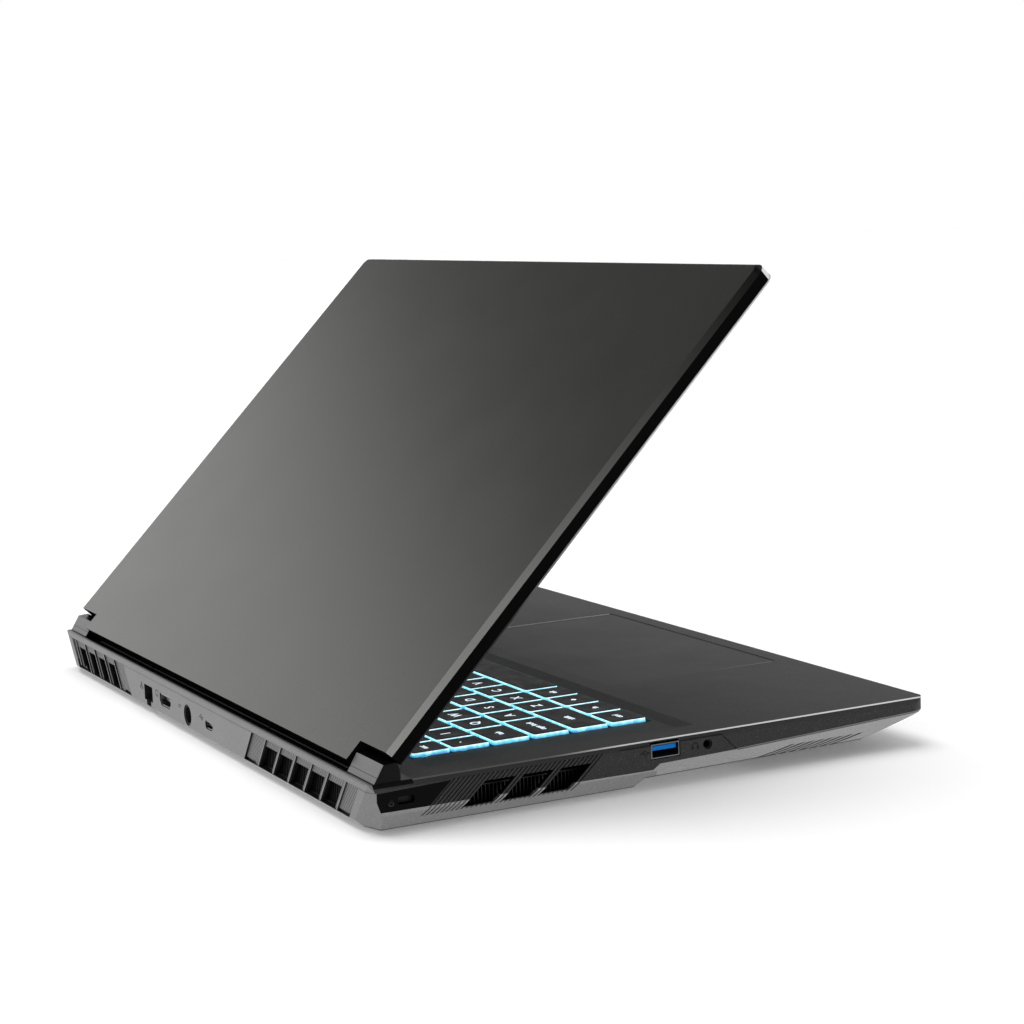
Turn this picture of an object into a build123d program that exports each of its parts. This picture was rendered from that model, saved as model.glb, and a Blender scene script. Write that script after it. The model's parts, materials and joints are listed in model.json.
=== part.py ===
from build123d import *
import math
import os

# A 17.3 inch laptop computer with a lid that stands part way open.
# Millimetres. X points to the user's right, Y to the rear edge with the hinges, Z up.
# The origin is on the table, under the middle of the base.

# ---- driving dimensions ----------------------------------------------------------
DECK_WIDTH = 398.0          # metal deck and lid, side to side
SIDE_BULGE = 2.2            # the side walls stand this far outside the deck's edge
BASE_DEPTH = 264.0          # front edge to rear face
DECK_Z = 20.5               # top of the deck above the table
FOOT_HEIGHT = 1.9           # clearance under the thick rear half of the base
WALL = 1.5                  # plastic and sheet metal walls
SIDE_WALL = 2.4             # side trims and the shell under them
CORNER_RADIUS = 8.0         # the base's two front corners, seen from above

LID_OPEN = 45.6             # rest angle of the lid, counted from closed
LID_THICKNESS = 8.0
LID_GAP = 0.7               # between the closed lid and the deck
HINGE_Y = 123.3
HINGE_Z = DECK_Z + 3.4
LID_REAR_Y = 126.6          # the lid's edges are given in the closed pose
LID_FRONT_Y = -134.0        # its lip stands a little past the base, to open it by
NOTCH_Y = 117.5             # rear edge of the lid's corners, in front of the hinge caps
NOTCH_X = 172.8             # half width of the lid's tongue between the hinge caps
TROUGH_RADIUS = 7.0         # channel in the deck that the tongue turns in

KEY_PITCH = 19.05
ROW_PITCH = 18.59
KEY_GAP = 2.4
KEY_TRAVEL = 1.4
KEY_HEIGHT = 1.95
KEY_RISE = 0.35             # the key tops stand this far above the deck
KEYS_LEFT = -163.4
KEYS_FRONT = -12.25
FUNCTION_ROW_Y = 80.1
MAIN_KEYS_RIGHT = 106.15
NUMPAD_PITCH = 14.3

# ---- worked out from them --------------------------------------------------------
HALF_DECK = DECK_WIDTH / 2
HALF_WIDTH = HALF_DECK + SIDE_BULGE
HALF_DEPTH = BASE_DEPTH / 2
DECK_UNDERSIDE = DECK_Z - WALL
SHELL_BOTTOM = FOOT_HEIGHT
FLOOR_REAR = SHELL_BOTTOM + WALL        # inside floor of the thick rear half
FRONT_BOTTOM = DECK_Z - 15.2            # underside of the thinner front half
FRONT_BEND_Y = -96.0                    # where the underside starts to rise to the front edge
FLOOR_FRONT = FRONT_BOTTOM + WALL
LID_TOP = DECK_Z + LID_GAP + LID_THICKNESS
LID_INNER = DECK_Z + LID_GAP
REAR_INNER = HALF_DEPTH - 2.5           # inner face of the rear panel
STRIP_SEAM = DECK_Z - 3.0               # seam between the rear panel and the strip above it
INNER_SIDE = HALF_WIDTH - SIDE_WALL
KEY_TOP = DECK_Z + KEY_RISE
KEY_FOOT = KEY_TOP - KEY_HEIGHT
PLATE_TOP = KEY_FOOT - KEY_TRAVEL - 0.2
SLANT = 1.1                             # the vents lean this far along the wall per unit of height


# ---- small helpers ---------------------------------------------------------------
def block(x0, x1, y0, y1, z0, z1):
    """A box between two opposite corners."""
    centre = ((x0 + x1) / 2, (y0 + y1) / 2, (z0 + z1) / 2)
    return Pos(*centre) * Box(abs(x1 - x0), abs(y1 - y0), abs(z1 - z0))


def prism(plane, points, length):
    """A closed outline on a plane, extruded along the plane's normal."""
    outline = make_face(Polyline([plane.from_local_coords(p) for p in points], close=True))
    return extrude(outline, amount=length, dir=plane.z_dir)


def prism_x(points, x0, x1):
    """An outline of (y, z) points, extruded from x0 to x1."""
    return prism(Plane(origin=(x0, 0, 0), x_dir=(0, 1, 0), z_dir=(1, 0, 0)), points, x1 - x0)


def prism_y(points, y0, y1):
    """An outline of (x, z) points, extruded from y0 to y1."""
    flipped = [(-x, z) for x, z in points]
    return prism(Plane(origin=(0, y0, 0), x_dir=(-1, 0, 0), z_dir=(0, 1, 0)), flipped, y1 - y0)


def prism_z(points, z0, z1):
    """An outline of (x, y) points, extruded from z0 to z1."""
    return prism(Plane(origin=(0, 0, z0)), points, z1 - z0)


def rounded_block(x0, x1, y0, y1, z0, z1, radius):
    """A box with rounded vertical edges."""
    face = Pos((x0 + x1) / 2, (y0 + y1) / 2, z0) * RectangleRounded(x1 - x0, y1 - y0, radius)
    return extrude(face, amount=z1 - z0)


def rod(start, end, radius):
    """A round bar between two points."""
    axis = Vector(*end) - Vector(*start)
    plane = Plane(origin=start, z_dir=axis)
    return extrude(plane * Circle(radius), amount=axis.length)


def mirrored(shape):
    """The same shape on the other side of the centre plane."""
    return mirror(shape, about=Plane.YZ)


def open_lid(shape):
    """Turns a shape of the closed lid up to its rest angle."""
    return Pos(0, HINGE_Y, HINGE_Z) * Rot(-LID_OPEN, 0, 0) * Pos(0, -HINGE_Y, -HINGE_Z) * shape


def save(name, shape):
    """Writes one node; a node of several loose pieces is written as one compound."""
    solids = list(shape.solids())
    body = solids[0] if len(solids) == 1 else Compound(children=solids)
    body.label = name
    export_step(body, f"parts/{name}.step")


# ---- the base's outer form -------------------------------------------------------
def base_form():
    """The whole base as one solid, without hinge caps or feet."""
    front_top = (-HALF_DEPTH + 0.5, DECK_Z)
    profile = [
        front_top,
        (-HALF_DEPTH, DECK_Z - 0.5),
        (-HALF_DEPTH + 1.0, DECK_Z - 5.2),
        (FRONT_BEND_Y, FRONT_BOTTOM + 1.0),
        (10.0, FRONT_BOTTOM),
        (14.8, SHELL_BOTTOM),
        (HALF_DEPTH - 2.0, SHELL_BOTTOM),
        (HALF_DEPTH, SHELL_BOTTOM + 1.8),
        (HALF_DEPTH, DECK_Z - 0.6),
        (HALF_DEPTH - 0.6, DECK_Z),
    ]
    form = prism_x(profile, -HALF_WIDTH, HALF_WIDTH)
    form &= prism_y(cross_section(0), -HALF_DEPTH, HALF_DEPTH)
    past_rear = HALF_DEPTH + 20         # only the two front corners are rounded
    form &= rounded_block(-HALF_WIDTH, HALF_WIDTH, -HALF_DEPTH, past_rear, 0, DECK_Z, CORNER_RADIUS)
    cutter = corner_facet_cutter()
    return form - cutter - mirrored(cutter)


def cross_section(inset):
    """(x, z) outline of the base seen from the front, with its side walls moved in."""
    right = [
        (HALF_DECK - inset, DECK_Z),
        (HALF_WIDTH - inset, DECK_Z - SIDE_BULGE),
        (HALF_WIDTH - inset, DECK_Z - 12.5),
        (HALF_WIDTH - 3.0 - inset, SHELL_BOTTOM),
    ]
    return right + [(-x, z) for x, z in reversed(right)]


def corner_facet_cutter():
    """Cuts the slanted facet off the rear left corner: a point at the deck, wide at the bottom."""
    top = Vector(-HALF_WIDTH + 2.5, HALF_DEPTH, DECK_Z - 0.3)
    bottom_rear = Vector(-HALF_WIDTH + 18.0, HALF_DEPTH, SHELL_BOTTOM)
    bottom_side = Vector(-HALF_WIDTH, HALF_DEPTH - 6.0, SHELL_BOTTOM)
    outward = (bottom_rear - top).cross(bottom_side - top).normalized()
    plane = Plane(origin=top, z_dir=outward)
    return extrude(plane * Rectangle(90, 90), amount=30)


def base_cavity():
    """The room inside the base."""
    profile = [
        (-HALF_DEPTH + 2.6, DECK_UNDERSIDE),
        (-HALF_DEPTH + 3.4, DECK_Z - 4.6),
        (FRONT_BEND_Y, FLOOR_FRONT + 1.0),
        (11.0, FLOOR_FRONT),
        (15.8, FLOOR_REAR),
        (REAR_INNER, FLOOR_REAR),
        (REAR_INNER, DECK_UNDERSIDE),
    ]
    section = [
        (INNER_SIDE, DECK_UNDERSIDE),
        (INNER_SIDE, DECK_Z - 13.0),
        (INNER_SIDE - 2.4, FLOOR_REAR),
    ]
    section += [(-x, z) for x, z in reversed(section)]
    cavity = prism_x(profile, -INNER_SIDE, INNER_SIDE) & prism_y(section, -HALF_DEPTH, HALF_DEPTH)
    front = -HALF_DEPTH + SIDE_WALL
    inner_radius = CORNER_RADIUS - SIDE_WALL
    cavity &= rounded_block(-INNER_SIDE, INNER_SIDE, front, HALF_DEPTH + 20, 0, DECK_Z, inner_radius)
    corner = 16.0
    for side in (-1, 1):
        wedge = [
            (side * INNER_SIDE, REAR_INNER - corner),
            (side * INNER_SIDE, REAR_INNER),
            (side * (INNER_SIDE - corner), REAR_INNER),
        ]
        cavity -= prism_z(wedge, 0, DECK_Z)
    return cavity


# ---- panel regions ---------------------------------------------------------------
def side_trim_outline():
    """(y, z) outline of the dark side trim, as seen from the side."""
    return [
        (HALF_DEPTH - 0.9, DECK_UNDERSIDE),
        (HALF_DEPTH - 3.9, DECK_Z - 11.0),
        (7.0, DECK_Z - 12.0),
        (3.6, DECK_Z - 9.8),
        (-33.7, DECK_Z - 9.1),
        (-HALF_DEPTH, DECK_Z - 5.5),
        (-HALF_DEPTH, DECK_UNDERSIDE),
    ]


def side_trim_region(side):
    """The room that one side trim fills in the base's outer form."""
    inner = side * INNER_SIDE
    outer = side * (HALF_WIDTH + 1)
    return prism_x(side_trim_outline(), min(inner, outer), max(inner, outer))


def rear_panel_region():
    return block(-HALF_WIDTH, HALF_WIDTH, REAR_INNER, HALF_DEPTH + 1, 0, STRIP_SEAM)


def rear_strip_region():
    return block(-HALF_WIDTH, HALF_WIDTH, REAR_INNER + 0.8, HALF_DEPTH + 1, STRIP_SEAM, DECK_Z + 1)


def palmrest_region():
    """The deck plate, and the lip that hangs down along the front edge."""
    plate = block(-HALF_WIDTH, HALF_WIDTH, -HALF_DEPTH, REAR_INNER + 0.8, DECK_UNDERSIDE, DECK_Z + 1)
    lip = block(-INNER_SIDE, INNER_SIDE, -HALF_DEPTH, -HALF_DEPTH + 2.5, DECK_Z - 5.0, DECK_Z)
    return plate + lip


# ---- vents -----------------------------------------------------------------------
REAR_VENT_TOP = DECK_Z - 6.3
REAR_VENT_BOTTOM = DECK_Z - 16.8
LEFT_VENT_START = -89.5
LEFT_VENT_COUNT = 5
LEFT_VENT_PITCH = 17.1
LEFT_VENT_WIDTH = 13.6
RIGHT_VENT_START = 117.6
RIGHT_VENT_COUNT = 4
RIGHT_VENT_PITCH = 16.5
RIGHT_VENT_WIDTH = 12.4
GRILLE_LEAN = 0.78          # the vents lean this far along the wall per unit of height
VENT_ROWS = (
    (-1, LEFT_VENT_START, LEFT_VENT_COUNT, LEFT_VENT_PITCH, LEFT_VENT_WIDTH),
    (1, RIGHT_VENT_START, RIGHT_VENT_COUNT, RIGHT_VENT_PITCH, RIGHT_VENT_WIDTH),
)
GRILLE_LEFT_INNER = -75.3
GRILLE_RIGHT_INNER = 102.0
GRILLE_OUTER = 190.0
GRILLE_DEPTH = 0.8
GRILLE_RIB = 1.0            # width of the slim ribs that run up the sunk fields
UNDERCUT_LENGTH = 12.0
UNDERCUT_DEPTH = 1.9
SIDE_VENT_TOP = DECK_Z - 4.9
SIDE_VENT_BOTTOM = DECK_Z - 14.3
SIDE_VENT_START = 35.3
SIDE_VENT_PITCH = 17.0
SIDE_VENT_WIDTH = 13.8
SIDE_VENT_COUNT = 3
RIBS_PER_VENT = 8           # ribs from one side vent to the next
RIB_DEPTH = 0.45
SEAM = 0.5                  # width and depth of the seam in the side trims
RIB_TOP = DECK_Z - 1.9
RIB_BOTTOM = DECK_Z - 14.9
RIB_FIRST_Y = 28.1          # front and rear ends of the ribbed field, at its top
RIB_LAST_Y = 96.5


def grille_field(inner_x, outer_x, side, y0, y1):
    """The slightly sunk field round one row of rear vents; its ends lean away from the middle."""
    top, bottom = STRIP_SEAM, REAR_VENT_BOTTOM
    shift = -side * (top - bottom) * GRILLE_LEAN
    outline = [(inner_x, top), (outer_x, top), (outer_x + shift, bottom), (inner_x + shift, bottom)]
    return prism_y(outline, y0, y1)


def grille_fields(y0, y1):
    left = grille_field(GRILLE_LEFT_INNER, -GRILLE_OUTER, -1, y0, y1)
    return [left, grille_field(GRILLE_RIGHT_INNER, GRILLE_OUTER, 1, y0, y1)]


def grille_undercuts():
    """Deep slots under the closed ends of the vent rows."""
    drop = (STRIP_SEAM - REAR_VENT_BOTTOM) * GRILLE_LEAN
    ends = (
        (GRILLE_LEFT_INNER + drop, -1),
        (-GRILLE_OUTER + drop + UNDERCUT_LENGTH, -1),
        (GRILLE_RIGHT_INNER - drop, 1),
        (GRILLE_OUTER - drop - UNDERCUT_LENGTH, 1),
    )
    y0, y1 = HALF_DEPTH - UNDERCUT_DEPTH, HALF_DEPTH + 1
    z0, z1 = REAR_VENT_BOTTOM, REAR_VENT_BOTTOM + 1.2
    return [block(x, x + side * UNDERCUT_LENGTH, y0, y1, z0, z1) for x, side in ends]


def leaning_bar(x, width, side, top, y0, y1):
    """A bar between two heights of the rear panel; x counts at the top of the vents."""
    above = side * (top - REAR_VENT_TOP) * GRILLE_LEAN
    below = -side * (REAR_VENT_TOP - REAR_VENT_BOTTOM) * GRILLE_LEAN
    outline = [
        (x + above, top),
        (x + width + above, top),
        (x + width + below, REAR_VENT_BOTTOM),
        (x + below, REAR_VENT_BOTTOM),
    ]
    return prism_y(outline, y0, y1)


def rear_vents():
    """Slanted openings through the rear panel, in two rows that lean away from the middle."""
    vents = []
    for side, start, count, pitch, width in VENT_ROWS:
        for index in range(count):
            x = start + side * index * pitch
            vents.append(leaning_bar(x, side * width, side, REAR_VENT_TOP, REAR_INNER - 1, HALF_DEPTH + 1))
    return vents


def grille_ribs():
    """Slim ribs beside the vents, which run on up to the strip above the rear panel."""
    y0, y1 = HALF_DEPTH - GRILLE_DEPTH - 1, HALF_DEPTH - 0.2
    ribs = []
    for side, start, count, pitch, _ in VENT_ROWS:
        for index in range(count + 1):
            x = start + side * (index * pitch - 0.2)
            ribs.append(leaning_bar(x, -side * GRILLE_RIB, side, STRIP_SEAM + 1, y0, y1))
    return ribs


def side_vents():
    """Three slanted openings through each side wall, over the side heat sinks."""
    lean = (SIDE_VENT_TOP - SIDE_VENT_BOTTOM) * SLANT
    vents = []
    for index in range(SIDE_VENT_COUNT):
        y = SIDE_VENT_START + index * SIDE_VENT_PITCH
        outline = [
            (y, SIDE_VENT_TOP),
            (y + SIDE_VENT_WIDTH, SIDE_VENT_TOP),
            (y + SIDE_VENT_WIDTH + lean, SIDE_VENT_BOTTOM),
            (y + lean, SIDE_VENT_BOTTOM),
        ]
        for side in (-1, 1):
            ends = sorted((side * (INNER_SIDE - 3), side * (HALF_WIDTH + 1)))
            vents.append(prism_x(outline, *ends))
    return vents


def side_grooves(side):
    """The slanted grooves that leave ribs round and between the side vents."""
    pitch = SIDE_VENT_PITCH / RIBS_PER_VENT
    width = pitch * 0.42
    lean = (RIB_TOP - RIB_BOTTOM) * SLANT
    bar_width = SIDE_VENT_PITCH - SIDE_VENT_WIDTH
    bar_middle = SIDE_VENT_START - bar_width / 2 - (RIB_TOP - SIDE_VENT_TOP) * SLANT - width / 2
    first = math.ceil((RIB_FIRST_Y - bar_middle) / pitch)
    last = math.floor((RIB_LAST_Y - bar_middle) / pitch)
    ends = sorted((side * (HALF_WIDTH - 4), side * (HALF_WIDTH + 1)))
    grooves = Part()
    for index in range(first, last + 1):
        y = bar_middle + index * pitch
        outline = [
            (y, RIB_TOP),
            (y + width, RIB_TOP),
            (y + width + lean, RIB_BOTTOM),
            (y + lean, RIB_BOTTOM),
        ]
        grooves += prism_x(outline, *ends)
    return grooves - prism_y(cross_section(RIB_DEPTH), 0, HALF_DEPTH)


def panel_seam(side):
    """The narrow seam above the side ports, which runs on down the wall in front of them."""
    top, floor = DECK_UNDERSIDE + 0.3, DECK_UNDERSIDE - SEAM
    turn, foot = -25.7, (-34.2, DECK_Z - 9.6)
    outline = [
        (22.0, top),
        (turn, top),
        foot,
        (foot[0] + 1.4 * SEAM, foot[1]),
        (turn - 0.2, floor),
        (22.0, floor),
    ]
    ends = sorted((side * (HALF_WIDTH - 4), side * (HALF_WIDTH + 1)))
    return prism_x(outline, *ends) - prism_y(cross_section(SEAM), -HALF_DEPTH, HALF_DEPTH)


# ---- ports -----------------------------------------------------------------------
USB_Y = 0.8
USB_Z = DECK_Z - 4.6
RELIEF = 0.6                # the deck plate is thinned over the side ports
USB_WIDTH = 12.5
USB_HEIGHT = 5.1
SHEET = 0.4                 # wall of the steel port shells
PORT_MOUTH = 0.25           # gap between a port's shell and the panel around it
AUDIO_Y = -19.1
AUDIO_Z = DECK_Z - 4.9
AUDIO_RADIUS = 1.75
ETHERNET_X = 64.2
ETHERNET_TOP = DECK_Z - 7.2
ETHERNET_WIDTH = 11.7
ETHERNET_HEIGHT = 7.0
LATCH_WIDTH = 6.0
LATCH_DROP = 3.2
HDMI_X = 39.3
HDMI_Z = DECK_Z - 10.2
HDMI_WIDTH = 14.2
HDMI_HEIGHT = 4.6
DC_X = 7.8
DC_Z = DECK_Z - 11.0
DC_RADIUS = 4.6
USBC_X = -21.0
USBC_Z = DECK_Z - 10.6
USBC_WIDTH = 8.4
USBC_HEIGHT = 2.6
LOCK_Y = 117.2
LOCK_Z = DECK_Z - 7.2
PORT_FACE = HALF_DEPTH - 0.4            # rear ports end just inside the rear panel's face
PLATE_SEAM = 0.15                       # gap round the rear port plate
SIDE_PORT_FACE = HALF_WIDTH - 0.4


def hdmi_outline(grow):
    """(x, z) outline of the video socket: a rectangle with its lower corners cut."""
    half = HDMI_WIDTH / 2 + grow
    top = HDMI_Z + HDMI_HEIGHT / 2 + grow
    bottom = HDMI_Z - HDMI_HEIGHT / 2 - grow
    cut = 1.9
    return [
        (HDMI_X - half, top),
        (HDMI_X + half, top),
        (HDMI_X + half, bottom + cut),
        (HDMI_X + half - cut, bottom),
        (HDMI_X - half + cut, bottom),
        (HDMI_X - half, bottom + cut),
    ]


def ethernet_opening(y0, y1, grow):
    """The network socket's opening with its latch slot below."""
    half = ETHERNET_WIDTH / 2 + grow
    bottom = ETHERNET_TOP - ETHERNET_HEIGHT
    body = block(ETHERNET_X - half, ETHERNET_X + half, y0, y1, bottom - grow, ETHERNET_TOP + grow)
    latch_half = LATCH_WIDTH / 2 + grow
    latch_bottom = bottom - LATCH_DROP - grow
    return body + block(ETHERNET_X - latch_half, ETHERNET_X + latch_half, y0, y1, latch_bottom, bottom)


def usb_c_bar(y0, y1, grow):
    """An upright bar with the round-ended section of the small oblong port."""
    width = USBC_WIDTH + 2 * grow
    height = USBC_HEIGHT + 2 * grow
    plane = Plane(origin=(USBC_X, y0, USBC_Z), x_dir=(-1, 0, 0), z_dir=(0, 1, 0))
    return extrude(plane * SlotOverall(width, height), amount=y1 - y0)


def rear_port_mouths():
    """What the rear panel leaves open for its four ports."""
    y0, y1 = REAR_INNER - 1, HALF_DEPTH + 1
    shell = SHEET + PORT_MOUTH
    return [
        ethernet_opening(y0, y1, PORT_MOUTH),
        prism_y(hdmi_outline(shell), y0, y1),
        rod((DC_X, y0, DC_Z), (DC_X, y1, DC_Z), DC_RADIUS + 0.4),
        usb_c_bar(y0, y1, shell),
    ]


def usb_mouth(side):
    half_w = USB_WIDTH / 2 + SHEET + PORT_MOUTH
    half_h = USB_HEIGHT / 2 + SHEET + PORT_MOUTH
    x0, x1 = side * (INNER_SIDE - 1), side * (HALF_WIDTH + 1)
    return block(x0, x1, USB_Y - half_w, USB_Y + half_w, USB_Z - half_h, USB_Z + half_h)


def usb_relief(side):
    """Room for a side port's shell under the deck plate."""
    x0, x1 = side * (HALF_DECK - 14), side * (HALF_WIDTH + 1)
    half = USB_WIDTH / 2 + SHEET + PORT_MOUTH
    return block(x0, x1, USB_Y - half, USB_Y + half, DECK_UNDERSIDE - 1, DECK_UNDERSIDE + RELIEF)


def lock_slot():
    """The cable lock's slot, 7 by 3 mm with rounded corners."""
    plane = Plane(origin=(-HALF_WIDTH - 1, LOCK_Y, LOCK_Z), x_dir=(0, 1, 0), z_dir=(1, 0, 0))
    return extrude(plane * RectangleRounded(7.0, 3.0, 0.8), amount=SIDE_WALL + 3)


def audio_mouth():
    return rod((-HALF_WIDTH - 1, AUDIO_Y, AUDIO_Z), (-INNER_SIDE + 1, AUDIO_Y, AUDIO_Z), AUDIO_RADIUS + 0.5)


# ---- shell parts -----------------------------------------------------------------
SCREW_PLACES = [(-180, 20), (180, 20), (-180, -32), (180, -32), (-100, -29), (0, -29), (100, -29)]
SCREW_PLACES += [(-70, 121), (88, 121), (-150, -104), (150, -104)]
SCREW_HEAD_RADIUS = 2.2
SCREW_HEAD_HEIGHT = 1.0
SCREW_RADIUS = 1.1
BOSS_RADIUS = 2.7
INTAKE_SLOTS = 9
INTAKE_SLOT_PITCH = 6.0


def underside_z(y):
    """Height of the base's underside at a screw."""
    if y > 15:
        return SHELL_BOTTOM
    if y > FRONT_BEND_Y:
        return FRONT_BOTTOM + (10.0 - y) / (10.0 - FRONT_BEND_Y)
    rise = (DECK_Z - 5.2 - FRONT_BOTTOM - 1.0) / (FRONT_BEND_Y + HALF_DEPTH - 1.0)
    return FRONT_BOTTOM + 1.0 + (FRONT_BEND_Y - y) * rise


def screw_holes():
    """A sunk seat and a through hole for every case screw."""
    holes = []
    for x, y in SCREW_PLACES:
        z = underside_z(y)
        holes.append(Pos(x, y, z) * Cylinder(SCREW_HEAD_RADIUS + 0.2, 2 * SCREW_HEAD_HEIGHT + 0.4))
        holes.append(Pos(x, y, z + 5) * Cylinder(SCREW_RADIUS + 0.15, 10))
    return holes


def screw_seats():
    """Bosses inside the bottom shell that take the screws' sunk heads."""
    seats = []
    for x, y in SCREW_PLACES:
        z = underside_z(y)
        seats.append(Pos(x, y, z + 1.6) * Cylinder(BOSS_RADIUS + 0.6, 2.4))
    return seats


def intake_slots(centre_x, centre_y):
    """Long slots under a fan, shorter towards the ends so that they fill a circle."""
    slots = []
    for index in range(INTAKE_SLOTS):
        offset = (index - (INTAKE_SLOTS - 1) / 2) * INTAKE_SLOT_PITCH
        half = math.sqrt(FAN_RADIUS ** 2 - offset ** 2) - 4
        y = centre_y + offset
        for x0, x1 in ((centre_x - half, centre_x - 2), (centre_x + 2, centre_x + half)):
            slots.append(block(x0, x1, y - 1.1, y + 1.1, SHELL_BOTTOM - 1, FLOOR_REAR + 1))
    return slots


def bottom_shell():
    """The tray that closes the base from below, with the fans' intakes and the screw seats."""
    shell = base_form() - base_cavity() - palmrest_region() - rear_panel_region()
    shell -= rear_strip_region()
    shell = shell - side_trim_region(-1) - side_trim_region(1)
    shell = shell + screw_seats()
    for centre in FAN_PLACES:
        shell = shell - intake_slots(*centre)
    for x, y in POST_PLACES:
        post = Pos(x, y, (FLOOR_REAR + BOARD_Z) / 2) * Cylinder(2.4, BOARD_Z - FLOOR_REAR + 0.2)
        shell += post - block(x - 5, x + 5, y - 5, y + 5, BOARD_Z, BOARD_Z + 5)
    shell = shell - screw_holes() - side_vents() - speaker_slots()
    shell = shell - side_grooves(-1) - side_grooves(1)
    shell = shell - ethernet_opening(REAR_INNER - 20, HALF_DEPTH + 1, 1.4) - usb_mouth(-1) - usb_mouth(1)
    return max(shell.solids(), key=lambda piece: piece.volume)


def speaker_slots():
    """Slanted slots low in each side wall, in front of the speakers."""
    top, bottom = DECK_Z - 11.0, DECK_Z - 14.6
    lean, width, pitch = 17.9, 2.2, 4.97
    slots = []
    for index in range(8):
        y = -42.4 - index * pitch
        outline = [(y - lean, top), (y - lean - width, top), (y - width, bottom), (y, bottom)]
        for side in (-1, 1):
            ends = sorted((side * (INNER_SIDE - 3), side * (HALF_WIDTH + 1)))
            slots.append(prism_x(outline, *ends))
    return slots


def side_trim(side):
    """The dark strip along one side, with its vents and port mouths."""
    trim = base_form() & side_trim_region(side)
    trim = trim - palmrest_region() - rear_panel_region() - rear_strip_region()
    trim = trim - side_vents() - side_grooves(side) - panel_seam(side) - usb_mouth(side)
    if side < 0:
        trim = trim - lock_slot() - audio_mouth()
    return max(trim.solids(), key=lambda piece: piece.volume)


def port_plate_outline(grow):
    """(x, z) outline of the plate between the two vent rows; it leans with their ends."""
    drop = (STRIP_SEAM - REAR_VENT_BOTTOM) * GRILLE_LEAN
    return [
        (GRILLE_LEFT_INNER - grow, STRIP_SEAM + grow),
        (GRILLE_RIGHT_INNER + grow, STRIP_SEAM + grow),
        (GRILLE_RIGHT_INNER - drop + grow, REAR_VENT_BOTTOM - grow),
        (GRILLE_LEFT_INNER + drop - grow, REAR_VENT_BOTTOM - grow),
    ]


def rear_port_plate():
    """The plate in the middle of the rear wall, with the mouths of four ports."""
    plate = base_form() & prism_y(port_plate_outline(0), REAR_INNER, HALF_DEPTH + 1)
    return plate - rear_port_mouths()


def rear_panel():
    """The rear wall: two rows of vents, joined below the port plate."""
    panel = base_form() & rear_panel_region()
    panel -= prism_y(port_plate_outline(PLATE_SEAM), REAR_INNER - 1, HALF_DEPTH + 1)
    fields = Part() + grille_fields(HALF_DEPTH - GRILLE_DEPTH, HALF_DEPTH + 1)
    panel = panel - (fields - grille_ribs()) - grille_undercuts()
    panel = panel - rear_vents() - rear_port_mouths() - hinge_trough()
    return max(panel.solids(), key=lambda piece: piece.volume)


def rear_strip():
    """The bar above the rear panel, behind the lid's tongue."""
    strip = base_form() & rear_strip_region()
    return strip - hinge_trough()


def hinge_trough():
    """Clearance round the lid's tongue."""
    return rod((-NOTCH_X - 0.5, HINGE_Y, HINGE_Z), (NOTCH_X + 0.5, HINGE_Y, HINGE_Z), TROUGH_RADIUS)


def trough_ribs():
    """Fine ribs along the rear wall of the lid's channel."""
    ribs = []
    for angle in (-36, -47, -58):
        y = HINGE_Y + (TROUGH_RADIUS + 0.1) * math.cos(math.radians(angle))
        z = HINGE_Z + (TROUGH_RADIUS + 0.1) * math.sin(math.radians(angle))
        ribs.append(rod((-NOTCH_X, y, z), (NOTCH_X, y, z), TROUGH_RIB))
    return ribs


TROUGH_RIB = 0.4
WELL_DEPTH = 1.3
WELL_HALF = 186.0
WELL_FRONT = -22.0
WELL_REAR = 101.0
KEYBED_HALF = 165.4
KEYBED_FRONT = -14.3
KEYBED_REAR = 98.0
PAD_LEFT = -98.6
PAD_RIGHT = 56.9
PAD_FRONT = -122.1
PAD_REAR = -32.0
PAD_RADIUS = 2.5
PAD_GAP = 0.3
POWER_Y = 109.0


def keyboard_well():
    """The shallow recess round the keyboard, with sloped sides."""
    rim = Rectangle(2 * WELL_HALF, WELL_REAR - WELL_FRONT)
    rim = Pos(0, (WELL_FRONT + WELL_REAR) / 2, DECK_Z) * rim
    floor_front, floor_rear = WELL_FRONT + 6.0, WELL_REAR - 2.0
    floor = Rectangle(2 * WELL_HALF - 8.0, floor_rear - floor_front)
    floor = Pos(0, (floor_front + floor_rear) / 2, DECK_Z - WELL_DEPTH) * floor
    return loft([floor.face(), rim.face()])


def power_hole(grow):
    plane = Plane(origin=(0, POWER_Y, DECK_Z - 6))
    return extrude(plane * SlotOverall(16 + 2 * grow, 5 + 2 * grow), amount=8)


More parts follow.
